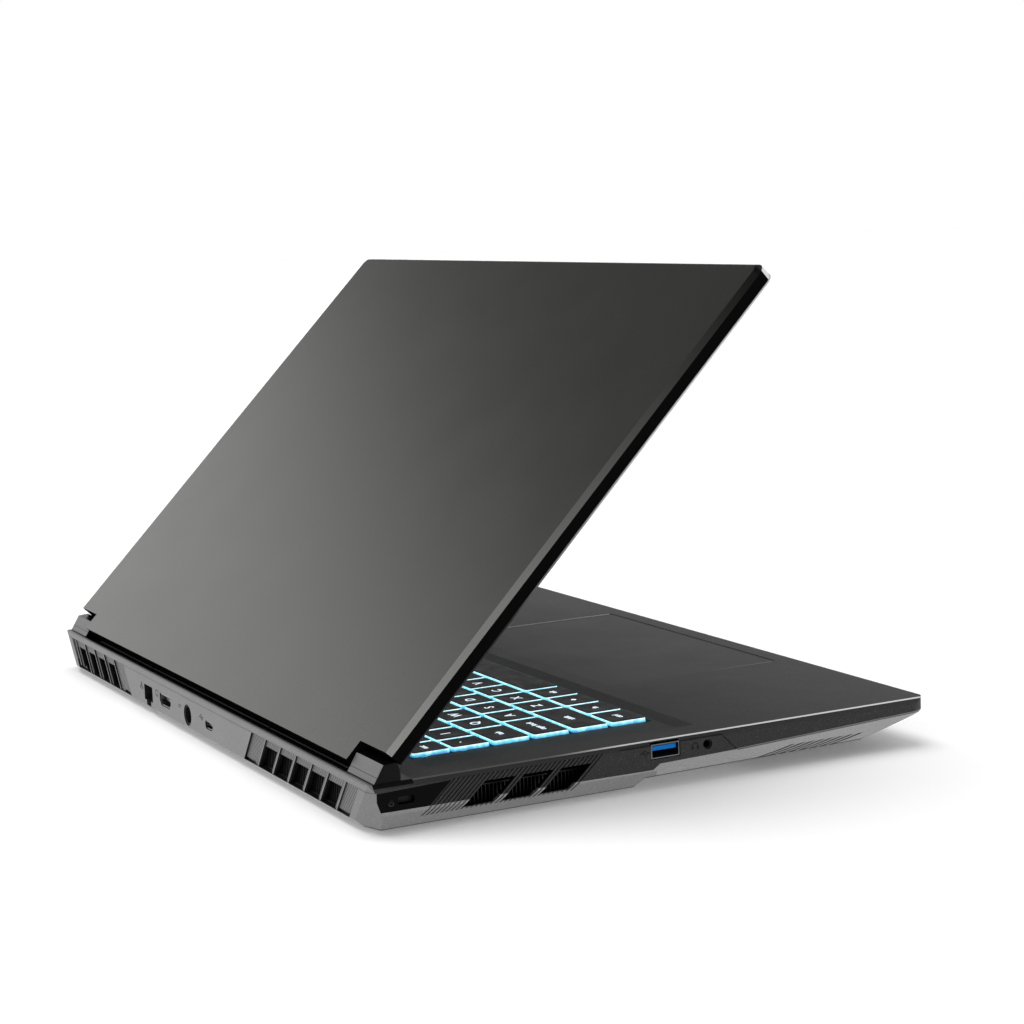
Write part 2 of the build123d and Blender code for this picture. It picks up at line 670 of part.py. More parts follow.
def palmrest_cover():
    """The metal deck: plate, front lip, keyboard well, and the channel behind the keys."""
    cover = base_form() & palmrest_region()
    half, front, rear = WELL_HALF + 2, WELL_FRONT - 2, WELL_REAR + 2
    frame = block(-half, half, front, rear, DECK_Z - 2.4, DECK_Z)
    cover = cover + frame - keyboard_well()
    cover -= block(-KEYBED_HALF, KEYBED_HALF, KEYBED_FRONT, KEYBED_REAR, 0, DECK_Z + 1)
    pad_hole = (PAD_LEFT - PAD_GAP, PAD_RIGHT + PAD_GAP, PAD_FRONT - PAD_GAP, PAD_REAR + PAD_GAP)
    cover -= rounded_block(*pad_hole, 0, DECK_Z + 1, PAD_RADIUS)
    liner = rod((-NOTCH_X - 1.5, HINGE_Y, HINGE_Z), (NOTCH_X + 1.5, HINGE_Y, HINGE_Z), TROUGH_RADIUS + 1)
    liner &= block(-HALF_WIDTH, HALF_WIDTH, 0, REAR_INNER - 0.1, 0, DECK_Z)
    bosses = [boss(x, y) for x, y in SCREW_PLACES]
    cover = cover + liner + bosses - power_hole(0.3) - hinge_trough() + trough_ribs()
    pilots = [Pos(x, y, 10) * Cylinder(SCREW_RADIUS + 0.02, 15) for x, y in SCREW_PLACES]
    cover = cover - pilots - usb_relief(-1) - usb_relief(1)
    for side in (-1, 1):
        z0, z1 = DECK_UNDERSIDE - 1, DECK_Z + 1
        cover -= block(side * 176, side * 190, HINGE_Y - 3.2, HINGE_Y + 3.2, z0, z1)
    return cover


def boss(x, y):
    """A screw boss that hangs from the deck down to the bottom shell's screw seat."""
    under_trough = abs(y - HINGE_Y) < TROUGH_RADIUS
    foot = underside_z(y) + 2.9
    head = HINGE_Z - TROUGH_RADIUS - 0.5 if under_trough else DECK_UNDERSIDE + 0.2
    return Pos(x, y, (foot + head) / 2) * Cylinder(BOSS_RADIUS, head - foot)


# ---- hinges ----------------------------------------------------------------------
CAP_INNER = NOTCH_X + 0.5
CAP_OUTER = HALF_DECK
SHAFT_RADIUS = 1.8
BARREL_RADIUS = 2.55


def cap_outline(wall):
    """(y, z) outline of a hinge cap: steep front, flat top, sloped rear with a crease."""
    return [
        (HINGE_Y - 5.45 + wall, DECK_Z + 0.02),
        (HINGE_Y - 5.3 + wall, DECK_Z + 4.2),
        (HINGE_Y - 4.6 + wall, DECK_Z + 6.1 - wall * 0.4),
        (HINGE_Y - 3.4 + wall, DECK_Z + 7.5 - wall),
        (HINGE_Y + 1.9 - wall * 0.8, DECK_Z + 7.1 - wall),
        (HINGE_Y + 4.6 - wall, DECK_Z + 2.6 - wall * 0.2),
        (HINGE_Y + 6.2 - wall, DECK_Z + 0.02),
    ]


def hinge_cap(side):
    """The hollow cover over one hinge, fixed to the base in the notch of the lid's corner."""
    wall = 0.85
    outer = prism_x(cap_outline(0), *sorted((side * CAP_INNER, side * CAP_OUTER)))
    inner = prism_x(cap_outline(wall), *sorted((side * (CAP_INNER + 1.2), side * (CAP_OUTER - 1.2))))
    start, end = side * (CAP_INNER - 1), side * (CAP_INNER + 5)
    opening = rod((start, HINGE_Y, HINGE_Z), (end, HINGE_Y, HINGE_Z), SHAFT_RADIUS + 0.3)
    return outer - inner - opening


def hinge_bracket(side):
    """The base's half of one hinge: a barrel on a web that stands on a foot plate."""
    x0, x1 = side * 177.0, side * 188.0
    barrel = rod((x0, HINGE_Y, HINGE_Z), (x1, HINGE_Y, HINGE_Z), BARREL_RADIUS)
    foot_top = DECK_UNDERSIDE - 2.5
    web = block(x0, x1, HINGE_Y - 1.0, HINGE_Y + 1.0, foot_top, HINGE_Z)
    plate = block(x0 - side * 2.5, x1, HINGE_Y - 22, HINGE_Y - 1, foot_top - 1.2, foot_top)
    bore = rod((x0 - side, HINGE_Y, HINGE_Z), (x1 + side, HINGE_Y, HINGE_Z), SHAFT_RADIUS + 0.05)
    holes = [Pos(side * 182, HINGE_Y - y, DECK_UNDERSIDE - 3) * Cylinder(1.3, 6) for y in (9, 17)]
    return barrel + web + plate - bore - holes


def hinge_arm(side):
    """The lid's half of one hinge: a shaft, and an arm screwed to the inside of the lid."""
    shaft = rod((side * 166, HINGE_Y, HINGE_Z), (side * 189.5, HINGE_Y, HINGE_Z), SHAFT_RADIUS)
    arm = prism_x(
        [
            (HINGE_Y - 1.7, HINGE_Z - 0.6),
            (HINGE_Y + 1.7, HINGE_Z - 0.6),
            (HINGE_Y + 1.7, LID_TOP - 1.7),
            (62.0, LID_TOP - 1.7),
            (62.0, LID_TOP - 2.5),
            (HINGE_Y - 1.7, LID_TOP - 2.5),
        ],
        *sorted((side * 157, side * 169)),
    )
    holes = [Pos(side * 163, y, LID_TOP - 2) * Cylinder(1.3, 4) for y in (70, 88, 106)]
    return open_lid(shaft + arm - holes)


# ---- lid -------------------------------------------------------------------------
SKIN = 1.2
EDGE_BEVEL = 2.2
BEZEL = 0.8
SCREEN_HALF = 191.0
SCREEN_TOP_Y = LID_FRONT_Y + 9.0
SCREEN_HEIGHT = 214.9
SCREEN_BOTTOM_Y = SCREEN_TOP_Y + SCREEN_HEIGHT
LID_CORNER = 5.5


def lid_outline(inset):
    """(x, y) outline of the closed lid: wide panel with a narrower tongue at the rear."""
    wide = HALF_DECK - inset
    narrow = NOTCH_X - inset
    return [
        (-wide, LID_FRONT_Y + inset),
        (wide, LID_FRONT_Y + inset),
        (wide, NOTCH_Y - inset),
        (narrow, NOTCH_Y - inset),
        (narrow, LID_REAR_Y - inset),
        (-narrow, LID_REAR_Y - inset),
        (-narrow, NOTCH_Y - inset),
        (-wide, NOTCH_Y - inset),
    ]


def lid_solid(inset, z0, z1):
    """The lid's outline as a slab, with its two far corners rounded."""
    slab = prism_z(lid_outline(inset), z0, z1)
    far = slab.edges().filter_by(Axis.Z).filter_by(lambda edge: edge.center().Y < 0)
    return fillet(far, LID_CORNER - inset)


def lid_cover():
    """The metal back of the lid: skin, side walls, and a bevel round the outer edge."""
    outer = lid_solid(0, LID_INNER + BEZEL + 0.05, LID_TOP)
    rim = outer.faces().sort_by(Axis.Z)[-1].edges()
    sides = rim.filter_by(lambda edge: edge.center().Y < NOTCH_Y - 1)
    outer = chamfer(sides, EDGE_BEVEL)
    hollow = lid_solid(SKIN, LID_INNER, LID_TOP - SKIN)
    hollow &= bevel_clearance()
    shafts = rod((-180, HINGE_Y, HINGE_Z), (180, HINGE_Y, HINGE_Z), SHAFT_RADIUS + 0.1)
    return open_lid(outer - hollow - shafts)


def bevel_clearance():
    """Keeps the skin its full thickness behind the bevel."""
    half = HALF_DECK - SKIN
    drop = EDGE_BEVEL + 0.4
    section = [
        (-half, LID_INNER),
        (half, LID_INNER),
        (half, LID_TOP - SKIN - drop),
        (half - drop, LID_TOP - SKIN),
        (-half + drop, LID_TOP - SKIN),
        (-half, LID_TOP - SKIN - drop),
    ]
    front = LID_FRONT_Y + SKIN
    profile = [
        (front, LID_INNER),
        (LID_REAR_Y, LID_INNER),
        (LID_REAR_Y, LID_TOP),
        (front + drop, LID_TOP),
        (front + drop, LID_TOP - SKIN),
        (front, LID_TOP - SKIN - drop),
    ]
    return prism_y(section, LID_FRONT_Y, LID_REAR_Y) & prism_x(profile, -HALF_DECK, HALF_DECK)


def screen_bezel():
    """The plastic frame round the screen, which closes the lid on the user's side."""
    frame = lid_solid(0, LID_INNER, LID_INNER + BEZEL)
    frame -= block(-SCREEN_HALF, SCREEN_HALF, SCREEN_TOP_Y, SCREEN_BOTTOM_Y, 0, LID_TOP)
    lens = Pos(0, SCREEN_TOP_Y - 4.4, LID_INNER) * Cylinder(1.6, 4)
    return open_lid(frame - lens)


def lcd_panel():
    """The display module behind the bezel."""
    z0 = LID_INNER + BEZEL + 0.1
    return open_lid(block(-193, 193, SCREEN_TOP_Y - 1.2, SCREEN_BOTTOM_Y + 8, z0, z0 + 2.8))


def webcam_module():
    """The camera board in the top of the lid, with its lens in the bezel's hole."""
    y = SCREEN_TOP_Y - 4.4
    z0 = LID_INNER + BEZEL + 0.1
    board = block(-22, 22, y - 2.3, y + 2.3, z0, z0 + 1.8)
    return open_lid(board + Pos(0, y, z0 - 0.2) * Cylinder(1.4, 1.2))


def lid_bumpers():
    """Small rubber pads on the bezel that keep the closed lid off the deck."""
    y = LID_FRONT_Y + 4.5
    places = [(-150, y), (-50, y), (50, y), (150, y), (-195, -20), (195, -20)]
    z = LID_INNER - 0.2
    return Compound(children=[open_lid(Pos(x, y, z) * Cylinder(1.8, 0.4)) for x, y in places])


# ---- keyboard --------------------------------------------------------------------
def cells(start, end, widths):
    """Splits a row into cells; a width of None takes what the others leave."""
    known = sum(width for width in widths if width is not None)
    spare = end - start - known
    edges = []
    x = start
    for width in widths:
        step = spare if width is None else width
        edges.append((x, x + step))
        x += step
    return edges


def key_rows():
    """Every key's cell as (row, x0, x1, y0, y1), from the front row to the function keys."""
    unit = KEY_PITCH
    main = [
        [1.1 * unit, unit, unit, unit, None] + [unit] * 5,
        [2.06 * unit] + [unit] * 10 + [None, unit],
        [1.55 * unit] + [unit] * 11 + [None],
        [1.31 * unit] + [unit] * 12 + [None],
        [0.81 * unit] + [unit] * 12 + [None],
    ]
    numpad_end = MAIN_KEYS_RIGHT + 4 * NUMPAD_PITCH
    keys = []
    for row, widths in enumerate(main):
        y = KEYS_FRONT + row * ROW_PITCH
        pad_columns = 3 if row < 4 else 4
        pad_end = MAIN_KEYS_RIGHT + pad_columns * NUMPAD_PITCH
        row_cells = cells(KEYS_LEFT, MAIN_KEYS_RIGHT, widths)
        row_cells += cells(MAIN_KEYS_RIGHT, pad_end, [NUMPAD_PITCH] * pad_columns)
        keys += [(row, x0, x1, y, y + ROW_PITCH) for x0, x1 in row_cells]
    for row in (0, 2):
        y = KEYS_FRONT + row * ROW_PITCH
        keys.append((row, numpad_end - NUMPAD_PITCH, numpad_end, y, y + 2 * ROW_PITCH))
    count = 19
    width = (numpad_end - KEYS_LEFT) / count
    for x0, x1 in cells(KEYS_LEFT, numpad_end, [width] * count):
        keys.append((5, x0, x1, FUNCTION_ROW_Y, FUNCTION_ROW_Y + ROW_PITCH))
    return keys


SINGLE_KEYS = {
    "key_control_left": (0, 0),
    "key_space": (0, 4),
    "key_shift_left": (1, 0),
    "key_enter": (2, 12),
    "key_tab": (3, 0),
    "key_backspace": (4, 13),
    "key_escape": (5, 0),
}
ROW_NODES = ["bottom_row_keys", "lower_row_keys", "home_row_keys", "upper_row_keys", "number_row_keys"]
ROW_NODES += ["function_row_keys"]


def key_cap(x0, x1, y0, y1):
    """One key cap: a low block, slightly wider at its foot."""
    width, depth = x1 - x0 - KEY_GAP, y1 - y0 - KEY_GAP
    centre = (x0 + width / 2, y0 + depth / 2)
    foot = Pos(*centre, KEY_FOOT) * RectangleRounded(width + 0.8, depth + 0.8, 1.2)
    top = Pos(*centre, KEY_TOP) * RectangleRounded(width, depth, 1.0)
    return loft([foot.face(), top.face()])


def save_keys():
    """Writes the single keys and, for each row, one node with the rest of its keys."""
    keys = key_rows()
    for row, row_name in enumerate(ROW_NODES):
        members = [key[1:] for key in keys if key[0] == row]
        own = {index: name for name, (r, index) in SINGLE_KEYS.items() if r == row}
        for index, name in own.items():
            save(name, key_cap(*members[index]))
        rest = [key_cap(*cell) for index, cell in enumerate(members) if index not in own]
        save(row_name, Compound(children=rest))


def keyboard_plate():
    """The steel plate under the keys, with a light window below each of them."""
    half, front, rear = KEYBED_HALF + 3, KEYBED_FRONT - 3, KEYBED_REAR + 2
    plate = block(-half, half, front, rear, PLATE_TOP - 0.8, PLATE_TOP)
    windows = []
    for _, x0, x1, y0, y1 in key_rows():
        x, y = (x0 + x1 - KEY_GAP) / 2, (y0 + y1 - KEY_GAP) / 2
        windows.append(block(x - 3, x + 3, y - 2, y + 2, PLATE_TOP - 2, PLATE_TOP + 1))
    return plate - windows


def backlight_sheet():
    """The lit plastic sheet below the keyboard plate."""
    top = PLATE_TOP - 0.85
    return block(-KEYBED_HALF, KEYBED_HALF, KEYBED_FRONT, KEYBED_REAR, top - 0.5, top)


def touchpad():
    """The touchpad's top plate and the board under it."""
    z0, z1 = DECK_Z - 1.4, DECK_Z - 0.2
    top = rounded_block(PAD_LEFT, PAD_RIGHT, PAD_FRONT, PAD_REAR, z0, z1, PAD_RADIUS)
    board = block(PAD_LEFT + 6, PAD_RIGHT - 6, PAD_FRONT + 6, PAD_REAR - 6, z0 - 1.4, z0)
    return top + board


def power_button():
    """The oblong power key behind the keyboard."""
    plane = Plane(origin=(0, POWER_Y, DECK_Z - 1.9))
    return extrude(plane * SlotOverall(16, 5), amount=1.8)


# ---- cooling ---------------------------------------------------------------------
FAN_RADIUS = 34.0
FAN_LEFT = (-132.0, 66.0)
FAN_RIGHT = (140.0, 66.0)
FAN_PLACES = (FAN_LEFT, FAN_RIGHT)
FAN_BOTTOM = FLOOR_REAR + 0.8
FAN_TOP = FAN_BOTTOM + 10.6
FAN_SHEET = 0.8
FAN_PIN = 1.5
BLADES = 37
FIN_BOTTOM = FLOOR_REAR + 0.6
FIN_TOP = FIN_BOTTOM + 9.0
FIN_SHEET = 0.4


def fan_housing(place, side):
    """A flat fan case with round intakes above and below, open to the rear and to the side."""
    x, y = place
    half = FAN_RADIUS + 3.5
    case = block(x - half, x + half, y - half, y + half, FAN_BOTTOM, FAN_TOP)
    room = (FAN_BOTTOM + FAN_SHEET, FAN_TOP - FAN_SHEET)
    drum = Pos(x, y, sum(room) / 2) * Cylinder(FAN_RADIUS + 1.5, room[1] - room[0])
    rear_duct = block(x - FAN_RADIUS, x + FAN_RADIUS, y, y + half + 1, *room)
    side_duct = block(x, x + side * (half + 1), y - 26, y + 26, *room)
    intake = Pos(x, y, FAN_TOP) * Cylinder(23, 4 * FAN_SHEET)
    spokes = block(x - 24, x + 24, y - 2, y + 2, FAN_BOTTOM, FAN_BOTTOM + FAN_SHEET)
    lower_intake = Pos(x, y, FAN_BOTTOM) * Cylinder(23, 4 * FAN_SHEET) - spokes
    pin = Pos(x, y, (FAN_BOTTOM + FAN_TOP) / 2) * Cylinder(FAN_PIN, FAN_TOP - FAN_BOTTOM)
    return case - drum - rear_duct - side_duct - intake - lower_intake + pin


def fan_rotor(place):
    """A hub with slim swept blades on a thin disc."""
    x, y = place
    z0, z1 = FAN_BOTTOM + FAN_SHEET + 0.6, FAN_TOP - FAN_SHEET - 0.6
    hub = Pos(x, y, (z0 + z1) / 2) * Cylinder(13, z1 - z0)
    disc = Pos(x, y, z0 + 0.4) * Cylinder(FAN_RADIUS - 6, 0.8)
    root = 12.0
    blade = block(-0.5, FAN_RADIUS - root, -0.3, 0.3, z0, z1)
    swept = Pos(root, 0, 0) * Rot(0, 0, 22) * blade
    blades = [Pos(x, y, 0) * Rot(0, 0, index * 360 / BLADES) * swept for index in range(BLADES)]
    bore = Pos(x, y, (z0 + z1) / 2) * Cylinder(FAN_PIN + 0.05, 3 * (z1 - z0))
    return (hub + disc + blades) - bore


def fin_stack(x0, x1, y0, y1, pitch, along_x):
    """Upright fins between a top and a bottom sheet."""
    sheets = block(x0, x1, y0, y1, FIN_BOTTOM, FIN_BOTTOM + FIN_SHEET)
    sheets += block(x0, x1, y0, y1, FIN_TOP - FIN_SHEET, FIN_TOP)
    length = (x1 - x0) if along_x else (y1 - y0)
    count = int(length / pitch)
    step = (length - FIN_SHEET) / count
    fins = []
    for index in range(count + 1):
        if along_x:
            x = x0 + index * step
            fins.append(block(x, x + FIN_SHEET, y0, y1, FIN_BOTTOM, FIN_TOP))
        else:
            y = y0 + index * step
            fins.append(block(x0, x1, y, y + FIN_SHEET, FIN_BOTTOM, FIN_TOP))
    return sheets + fins


def heat_sinks():
    """Four fin stacks, one behind each vent field."""
    rear_y = (112.0, REAR_INNER - 0.5)
    side_x = (INNER_SIDE - 11.0, INNER_SIDE - 3.0)
    return {
        "heatsink_rear_left": fin_stack(-172, -80, *rear_y, 1.9, True),
        "heatsink_rear_right": fin_stack(106, 176, *rear_y, 1.9, True),
        "heatsink_side_left": fin_stack(-side_x[1], -side_x[0], 36, 96, 1.7, False),
        "heatsink_side_right": fin_stack(*side_x, 36, 96, 1.7, False),
    }


PIPE_WIDTH = 7.0
PIPE_BOTTOM = FIN_TOP + 0.05
PIPE_TOP = PIPE_BOTTOM + 1.6


def flat_pipe(points, radius):
    """A flattened heat pipe that follows a plan route with rounded bends."""
    path = FilletPolyline([(x, y, (PIPE_BOTTOM + PIPE_TOP) / 2) for x, y in points], radius=radius)
    plane = Plane(origin=path @ 0, z_dir=path % 0, x_dir=(0, 0, 1))
    section = plane * Rectangle(PIPE_TOP - PIPE_BOTTOM, PIPE_WIDTH)
    return sweep(section, path=path)


def heat_pipes():
    """Two pipes from the chips' cold plates over the rear heat sinks."""
    left = [(-170, 118.2), (-75, 118.2), (-40, 66), (22, 66)]
    right = [(174, 118.2), (95, 118.2), (62, 74.5), (-20, 74.5)]
    return Compound(children=[flat_pipe(left, 14), flat_pipe(right, 14)])


def cold_plates():
    """Copper plates that carry heat from the two chips to the pipes."""
    z0, z1 = BOARD_Z + BOARD_THICKNESS + 0.8, PIPE_BOTTOM - 0.05
    return Compound(children=[block(-52, -14, 54, 86, z0, z1), block(-8, 38, 52, 88, z0, z1)])


# ---- boards and modules ----------------------------------------------------------
BOARD_Z = FLOOR_REAR + 3.6
BOARD_THICKNESS = 1.2
POST_PLACES = [(-84, 30), (-84, 92), (90, 30), (90, 92), (0, 40), (60, 104)]


def mainboard():
    """The main circuit board with its two chips and a row of inductors."""
    z1 = BOARD_Z + BOARD_THICKNESS
    board = block(-90, 96, 18, 110, BOARD_Z, z1)
    chips = block(-44, -22, 60, 80, z1, z1 + 0.75) + block(2, 28, 58, 82, z1, z1 + 0.75)
    coils = [block(x, x + 7, 40, 47, z1, z1 + 2.5) for x in range(-48, 45, 10)]
    return board + chips + coils


def memory_modules():
    """Two memory sticks, side by side above the board."""
    z0 = BOARD_Z + BOARD_THICKNESS + 1.4
    sticks = []
    for x in (-86, 62):
        stick = block(x, x + 30, 20, 36, z0, z0 + 1.0)
        chips = [block(x + 2 + i * 7, x + 7 + i * 7, 23, 33, z0 + 1.0, z0 + 1.9) for i in range(4)]
        sticks.append(stick + chips)
    return Compound(children=sticks)


def ssd_module():
    """The storage stick."""
    z0 = BOARD_Z + BOARD_THICKNESS + 1.4
    chips = block(-16, 2, 23, 37, z0 + 0.8, z0 + 1.9) + block(8, 34, 23, 37, z0 + 0.8, z0 + 1.9)
    return block(-24, 40, 19, 38, z0, z0 + 0.8) + chips


def battery():
    """The flat battery pack under the palm rest."""
    top = DECK_Z - 4.2
    profile = [
        (-108, top),
        (-108, top - 3.0),
        (-92, FLOOR_FRONT + 1.6),
        (-38, FLOOR_FRONT + 1.2),
        (-38, top),
    ]
    return prism_x(profile, -118, 118)


def speaker(side):
    """A long speaker box beside the battery."""
    x0, x1 = sorted((side * 128, side * (INNER_SIDE - 3.5)))
    box = block(x0, x1, -92, -44, FLOOR_FRONT + 1.6, DECK_Z - 4.0)
    cone = Pos(side * 160, -68, DECK_Z - 4.0) * Cylinder(15, 1.6)
    return box - cone


# ---- port parts ------------------------------------------------------------------
def usb_port(side):
    """A rectangular steel port with its tongue in the upper half of the mouth."""
    depth = 14.0
    x_out = side * SIDE_PORT_FACE
    x_in = side * (SIDE_PORT_FACE - depth)
    y0, y1 = USB_Y - USB_WIDTH / 2, USB_Y + USB_WIDTH / 2
    z0, z1 = USB_Z - USB_HEIGHT / 2, USB_Z + USB_HEIGHT / 2
    can = block(x_in, x_out, y0 - SHEET, y1 + SHEET, z0 - SHEET, z1 + SHEET)
    can -= block(x_in + side * 1.5, x_out + side, y0, y1, z0, z1)
    tongue = block(x_in, x_out - side * 1.0, y0 + 0.7, y1 - 0.7, z1 - 2.4, z1 - 0.6)
    return can + tongue


def audio_jack():
    """The round headset socket in a small plastic block."""
    x_out, x_in = -INNER_SIDE + 0.1, -INNER_SIDE + 14
    body = block(x_out, x_in, AUDIO_Y - 3.4, AUDIO_Y + 3.4, AUDIO_Z - 3.2, AUDIO_Z + 2.4)
    body += rod((-SIDE_PORT_FACE, AUDIO_Y, AUDIO_Z), (x_out + 1, AUDIO_Y, AUDIO_Z), AUDIO_RADIUS + 0.4)
    return body - rod((-HALF_WIDTH, AUDIO_Y, AUDIO_Z), (x_in - 1.4, AUDIO_Y, AUDIO_Z), AUDIO_RADIUS)


def ethernet_jack():
    """The network socket: a plastic block with the stepped opening and a row of contacts."""
    y_in = REAR_INNER - 16
    body = block(ETHERNET_X - 7.8, ETHERNET_X + 7.8, y_in, REAR_INNER - 0.1, FLOOR_REAR + 0.1, DECK_Z - 5.2)
    body -= ethernet_opening(y_in + 3, HALF_DEPTH, 0)
    for index in range(8):
        x = ETHERNET_X + (index - 3.5) * 1.1
        body += block(x - 0.2, x + 0.2, y_in + 2, y_in + 9, ETHERNET_TOP - 1.2, ETHERNET_TOP + 0.2)
    return body


def hdmi_port():
    """The video socket: a steel shell with a tongue."""
    y_in = PORT_FACE - 11
    shell = prism_y(hdmi_outline(SHEET), y_in, PORT_FACE)
    shell -= prism_y(hdmi_outline(0), y_in + 1.5, PORT_FACE + 1)
    tongue = block(HDMI_X - 5.2, HDMI_X + 5.2, y_in, PORT_FACE - 2, HDMI_Z - 0.7, HDMI_Z + 0.7)
    return shell + tongue


def dc_in_jack():
    """The round power inlet with its centre pin."""
    y_in = REAR_INNER - 13
    body = block(DC_X - 6.5, DC_X + 6.5, y_in, REAR_INNER - 0.1, DC_Z - 5.9, DC_Z + 5.9)
    body += rod((DC_X, REAR_INNER - 1, DC_Z), (DC_X, PORT_FACE, DC_Z), DC_RADIUS + 0.25)
    body -= rod((DC_X, y_in + 2, DC_Z), (DC_X, HALF_DEPTH, DC_Z), DC_RADIUS - 0.6)
    return body + rod((DC_X, y_in + 1, DC_Z), (DC_X, PORT_FACE - 1.5, DC_Z), 1.1)


def usb_c_port():
    """The small oblong port with a thin tongue in its middle."""
    y_in = PORT_FACE - 9
    shell = usb_c_bar(y_in, PORT_FACE, SHEET) - usb_c_bar(y_in + 1.5, PORT_FACE + 1, 0)
    return shell + block(USBC_X - 3.3, USBC_X + 3.3, y_in, PORT_FACE - 1, USBC_Z - 0.35, USBC_Z + 0.35)


# ---- feet and screws -------------------------------------------------------------
def rubber_feet():
    """Two long rear feet across the base, and two tall front feet along its sides."""
    feet = []
    for side in (-1, 1):
        x0, x1 = sorted((side * 92, side * 184))
        feet.append(rounded_block(x0, x1, 108, 118, 0, SHELL_BOTTOM, 4))
        x0, x1 = sorted((side * 162, side * 174))
        foot = rounded_block(x0, x1, FRONT_BEND_Y + 1, -58, 0, FRONT_BOTTOM + 2, 5)
        above_underside = [
            (FRONT_BEND_Y, FRONT_BOTTOM + 1.0),
            (10.0, FRONT_BOTTOM),
            (10.0, DECK_Z),
            (FRONT_BEND_Y, DECK_Z),
        ]
        feet.append(foot - prism_x(above_underside, -HALF_WIDTH, HALF_WIDTH))
    return Compound(children=feet)


def case_screws():
    """The screws that hold the bottom shell to the deck's bosses."""
    screws = []
    for x, y in SCREW_PLACES:
        z = underside_z(y)
        middle = z + SCREW_HEAD_HEIGHT / 2 + 0.2
        head = Pos(x, y, middle) * Cylinder(SCREW_HEAD_RADIUS, SCREW_HEAD_HEIGHT)
        shank = Pos(x, y, z + 3.8) * Cylinder(SCREW_RADIUS, 6)
        cross = Pos(x, y, z + 0.2) * (Box(2.6, 0.6, 1.0) + Box(0.6, 2.6, 1.0))
        screws.append(head + shank - cross)
    return Compound(children=screws)


# ---- write every node ------------------------------------------------------------
def main():
    os.makedirs("parts", exist_ok=True)
    parts = {
        "bottom_shell": bottom_shell(),
        "palmrest_cover": palmrest_cover(),
        "side_trim_left": side_trim(-1),
        "side_trim_right": side_trim(1),
        "rear_panel": rear_panel(),
        "rear_port_plate": rear_port_plate(),
        "rear_strip": rear_strip(),
        "hinge_cap_left": hinge_cap(-1),
        "hinge_cap_right": hinge_cap(1),
        "hinge_bracket_left": hinge_bracket(-1),
        "hinge_bracket_right": hinge_bracket(1),
        "hinge_arm_left": hinge_arm(-1),
        "hinge_arm_right": hinge_arm(1),
        "lid_cover": lid_cover(),
        "screen_bezel": screen_bezel(),
        "lcd_panel": lcd_panel(),
        "webcam_module": webcam_module(),
        "lid_bumpers": lid_bumpers(),
        "keyboard_plate": keyboard_plate(),
        "backlight_sheet": backlight_sheet(),
        "touchpad": touchpad(),
        "power_button": power_button(),
        "fan_housing_left": fan_housing(FAN_LEFT, -1),
        "fan_housing_right": fan_housing(FAN_RIGHT, 1),
        "fan_rotor_left": fan_rotor(FAN_LEFT),
        "fan_rotor_right": fan_rotor(FAN_RIGHT),
        "heat_pipes": heat_pipes(),
        "cold_plates": cold_plates(),
        "mainboard": mainboard(),
        "memory_modules": memory_modules(),
        "ssd_module": ssd_module(),
        "battery": battery(),
        "speaker_left": speaker(-1),
        "speaker_right": speaker(1),
        "usb_port_left": usb_port(-1),
        "usb_port_right": usb_port(1),
        "audio_jack": audio_jack(),
        "ethernet_jack": ethernet_jack(),
        "hdmi_port": hdmi_port(),
        "dc_in_jack": dc_in_jack(),
        "usb_c_port": usb_c_port(),
        "rubber_feet": rubber_feet(),
        "case_screws": case_screws(),
    }
    parts.update(heat_sinks())
    for name, shape in parts.items():
        save(name, shape)
    save_keys()


main()
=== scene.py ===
import bpy
import json
import math
from mathutils import Matrix, Vector


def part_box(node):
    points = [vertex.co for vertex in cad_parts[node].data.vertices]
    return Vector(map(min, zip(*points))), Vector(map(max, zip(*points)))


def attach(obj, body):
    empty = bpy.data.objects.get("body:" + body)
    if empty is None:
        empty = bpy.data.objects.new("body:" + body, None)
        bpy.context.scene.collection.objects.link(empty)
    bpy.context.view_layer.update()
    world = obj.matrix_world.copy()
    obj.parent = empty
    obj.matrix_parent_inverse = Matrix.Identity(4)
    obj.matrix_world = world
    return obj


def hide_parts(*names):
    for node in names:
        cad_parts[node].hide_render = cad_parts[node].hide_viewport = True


# Looks of the laptop computer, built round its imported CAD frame. Metres, X to the user's
# right, Y to the rear, Z up. Places come from the frame's boxes and its lid hinge; those that
# neither gives are numbers that follow the CAD.

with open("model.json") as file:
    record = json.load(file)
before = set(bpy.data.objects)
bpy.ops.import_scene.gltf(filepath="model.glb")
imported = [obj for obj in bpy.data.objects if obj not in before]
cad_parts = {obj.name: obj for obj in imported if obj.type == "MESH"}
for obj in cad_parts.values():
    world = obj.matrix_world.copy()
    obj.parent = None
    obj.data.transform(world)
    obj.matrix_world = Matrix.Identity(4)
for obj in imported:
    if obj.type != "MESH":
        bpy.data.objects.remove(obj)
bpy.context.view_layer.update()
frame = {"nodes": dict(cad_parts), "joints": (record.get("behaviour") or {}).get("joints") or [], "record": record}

MM = 0.001
RIGHT = Vector((1, 0, 0))
LEFT = Vector((-1, 0, 0))
REARWARD = Vector((0, 1, 0))
FORWARD = Vector((0, -1, 0))
UP = Vector((0, 0, 1))

# limits for how far a surface faces a direction, on a scale from -1 to 1
SLIGHTLY = 0.3
SQUARELY = 0.9

BODY_OF = {}
for body_name, members in frame["record"]["behaviour"]["bodies"].items():
    for member in members:
        BODY_OF[member] = body_name
SLOT_OF = {part["node"]: part["material_slot"] for part in frame["record"]["subparts"]}

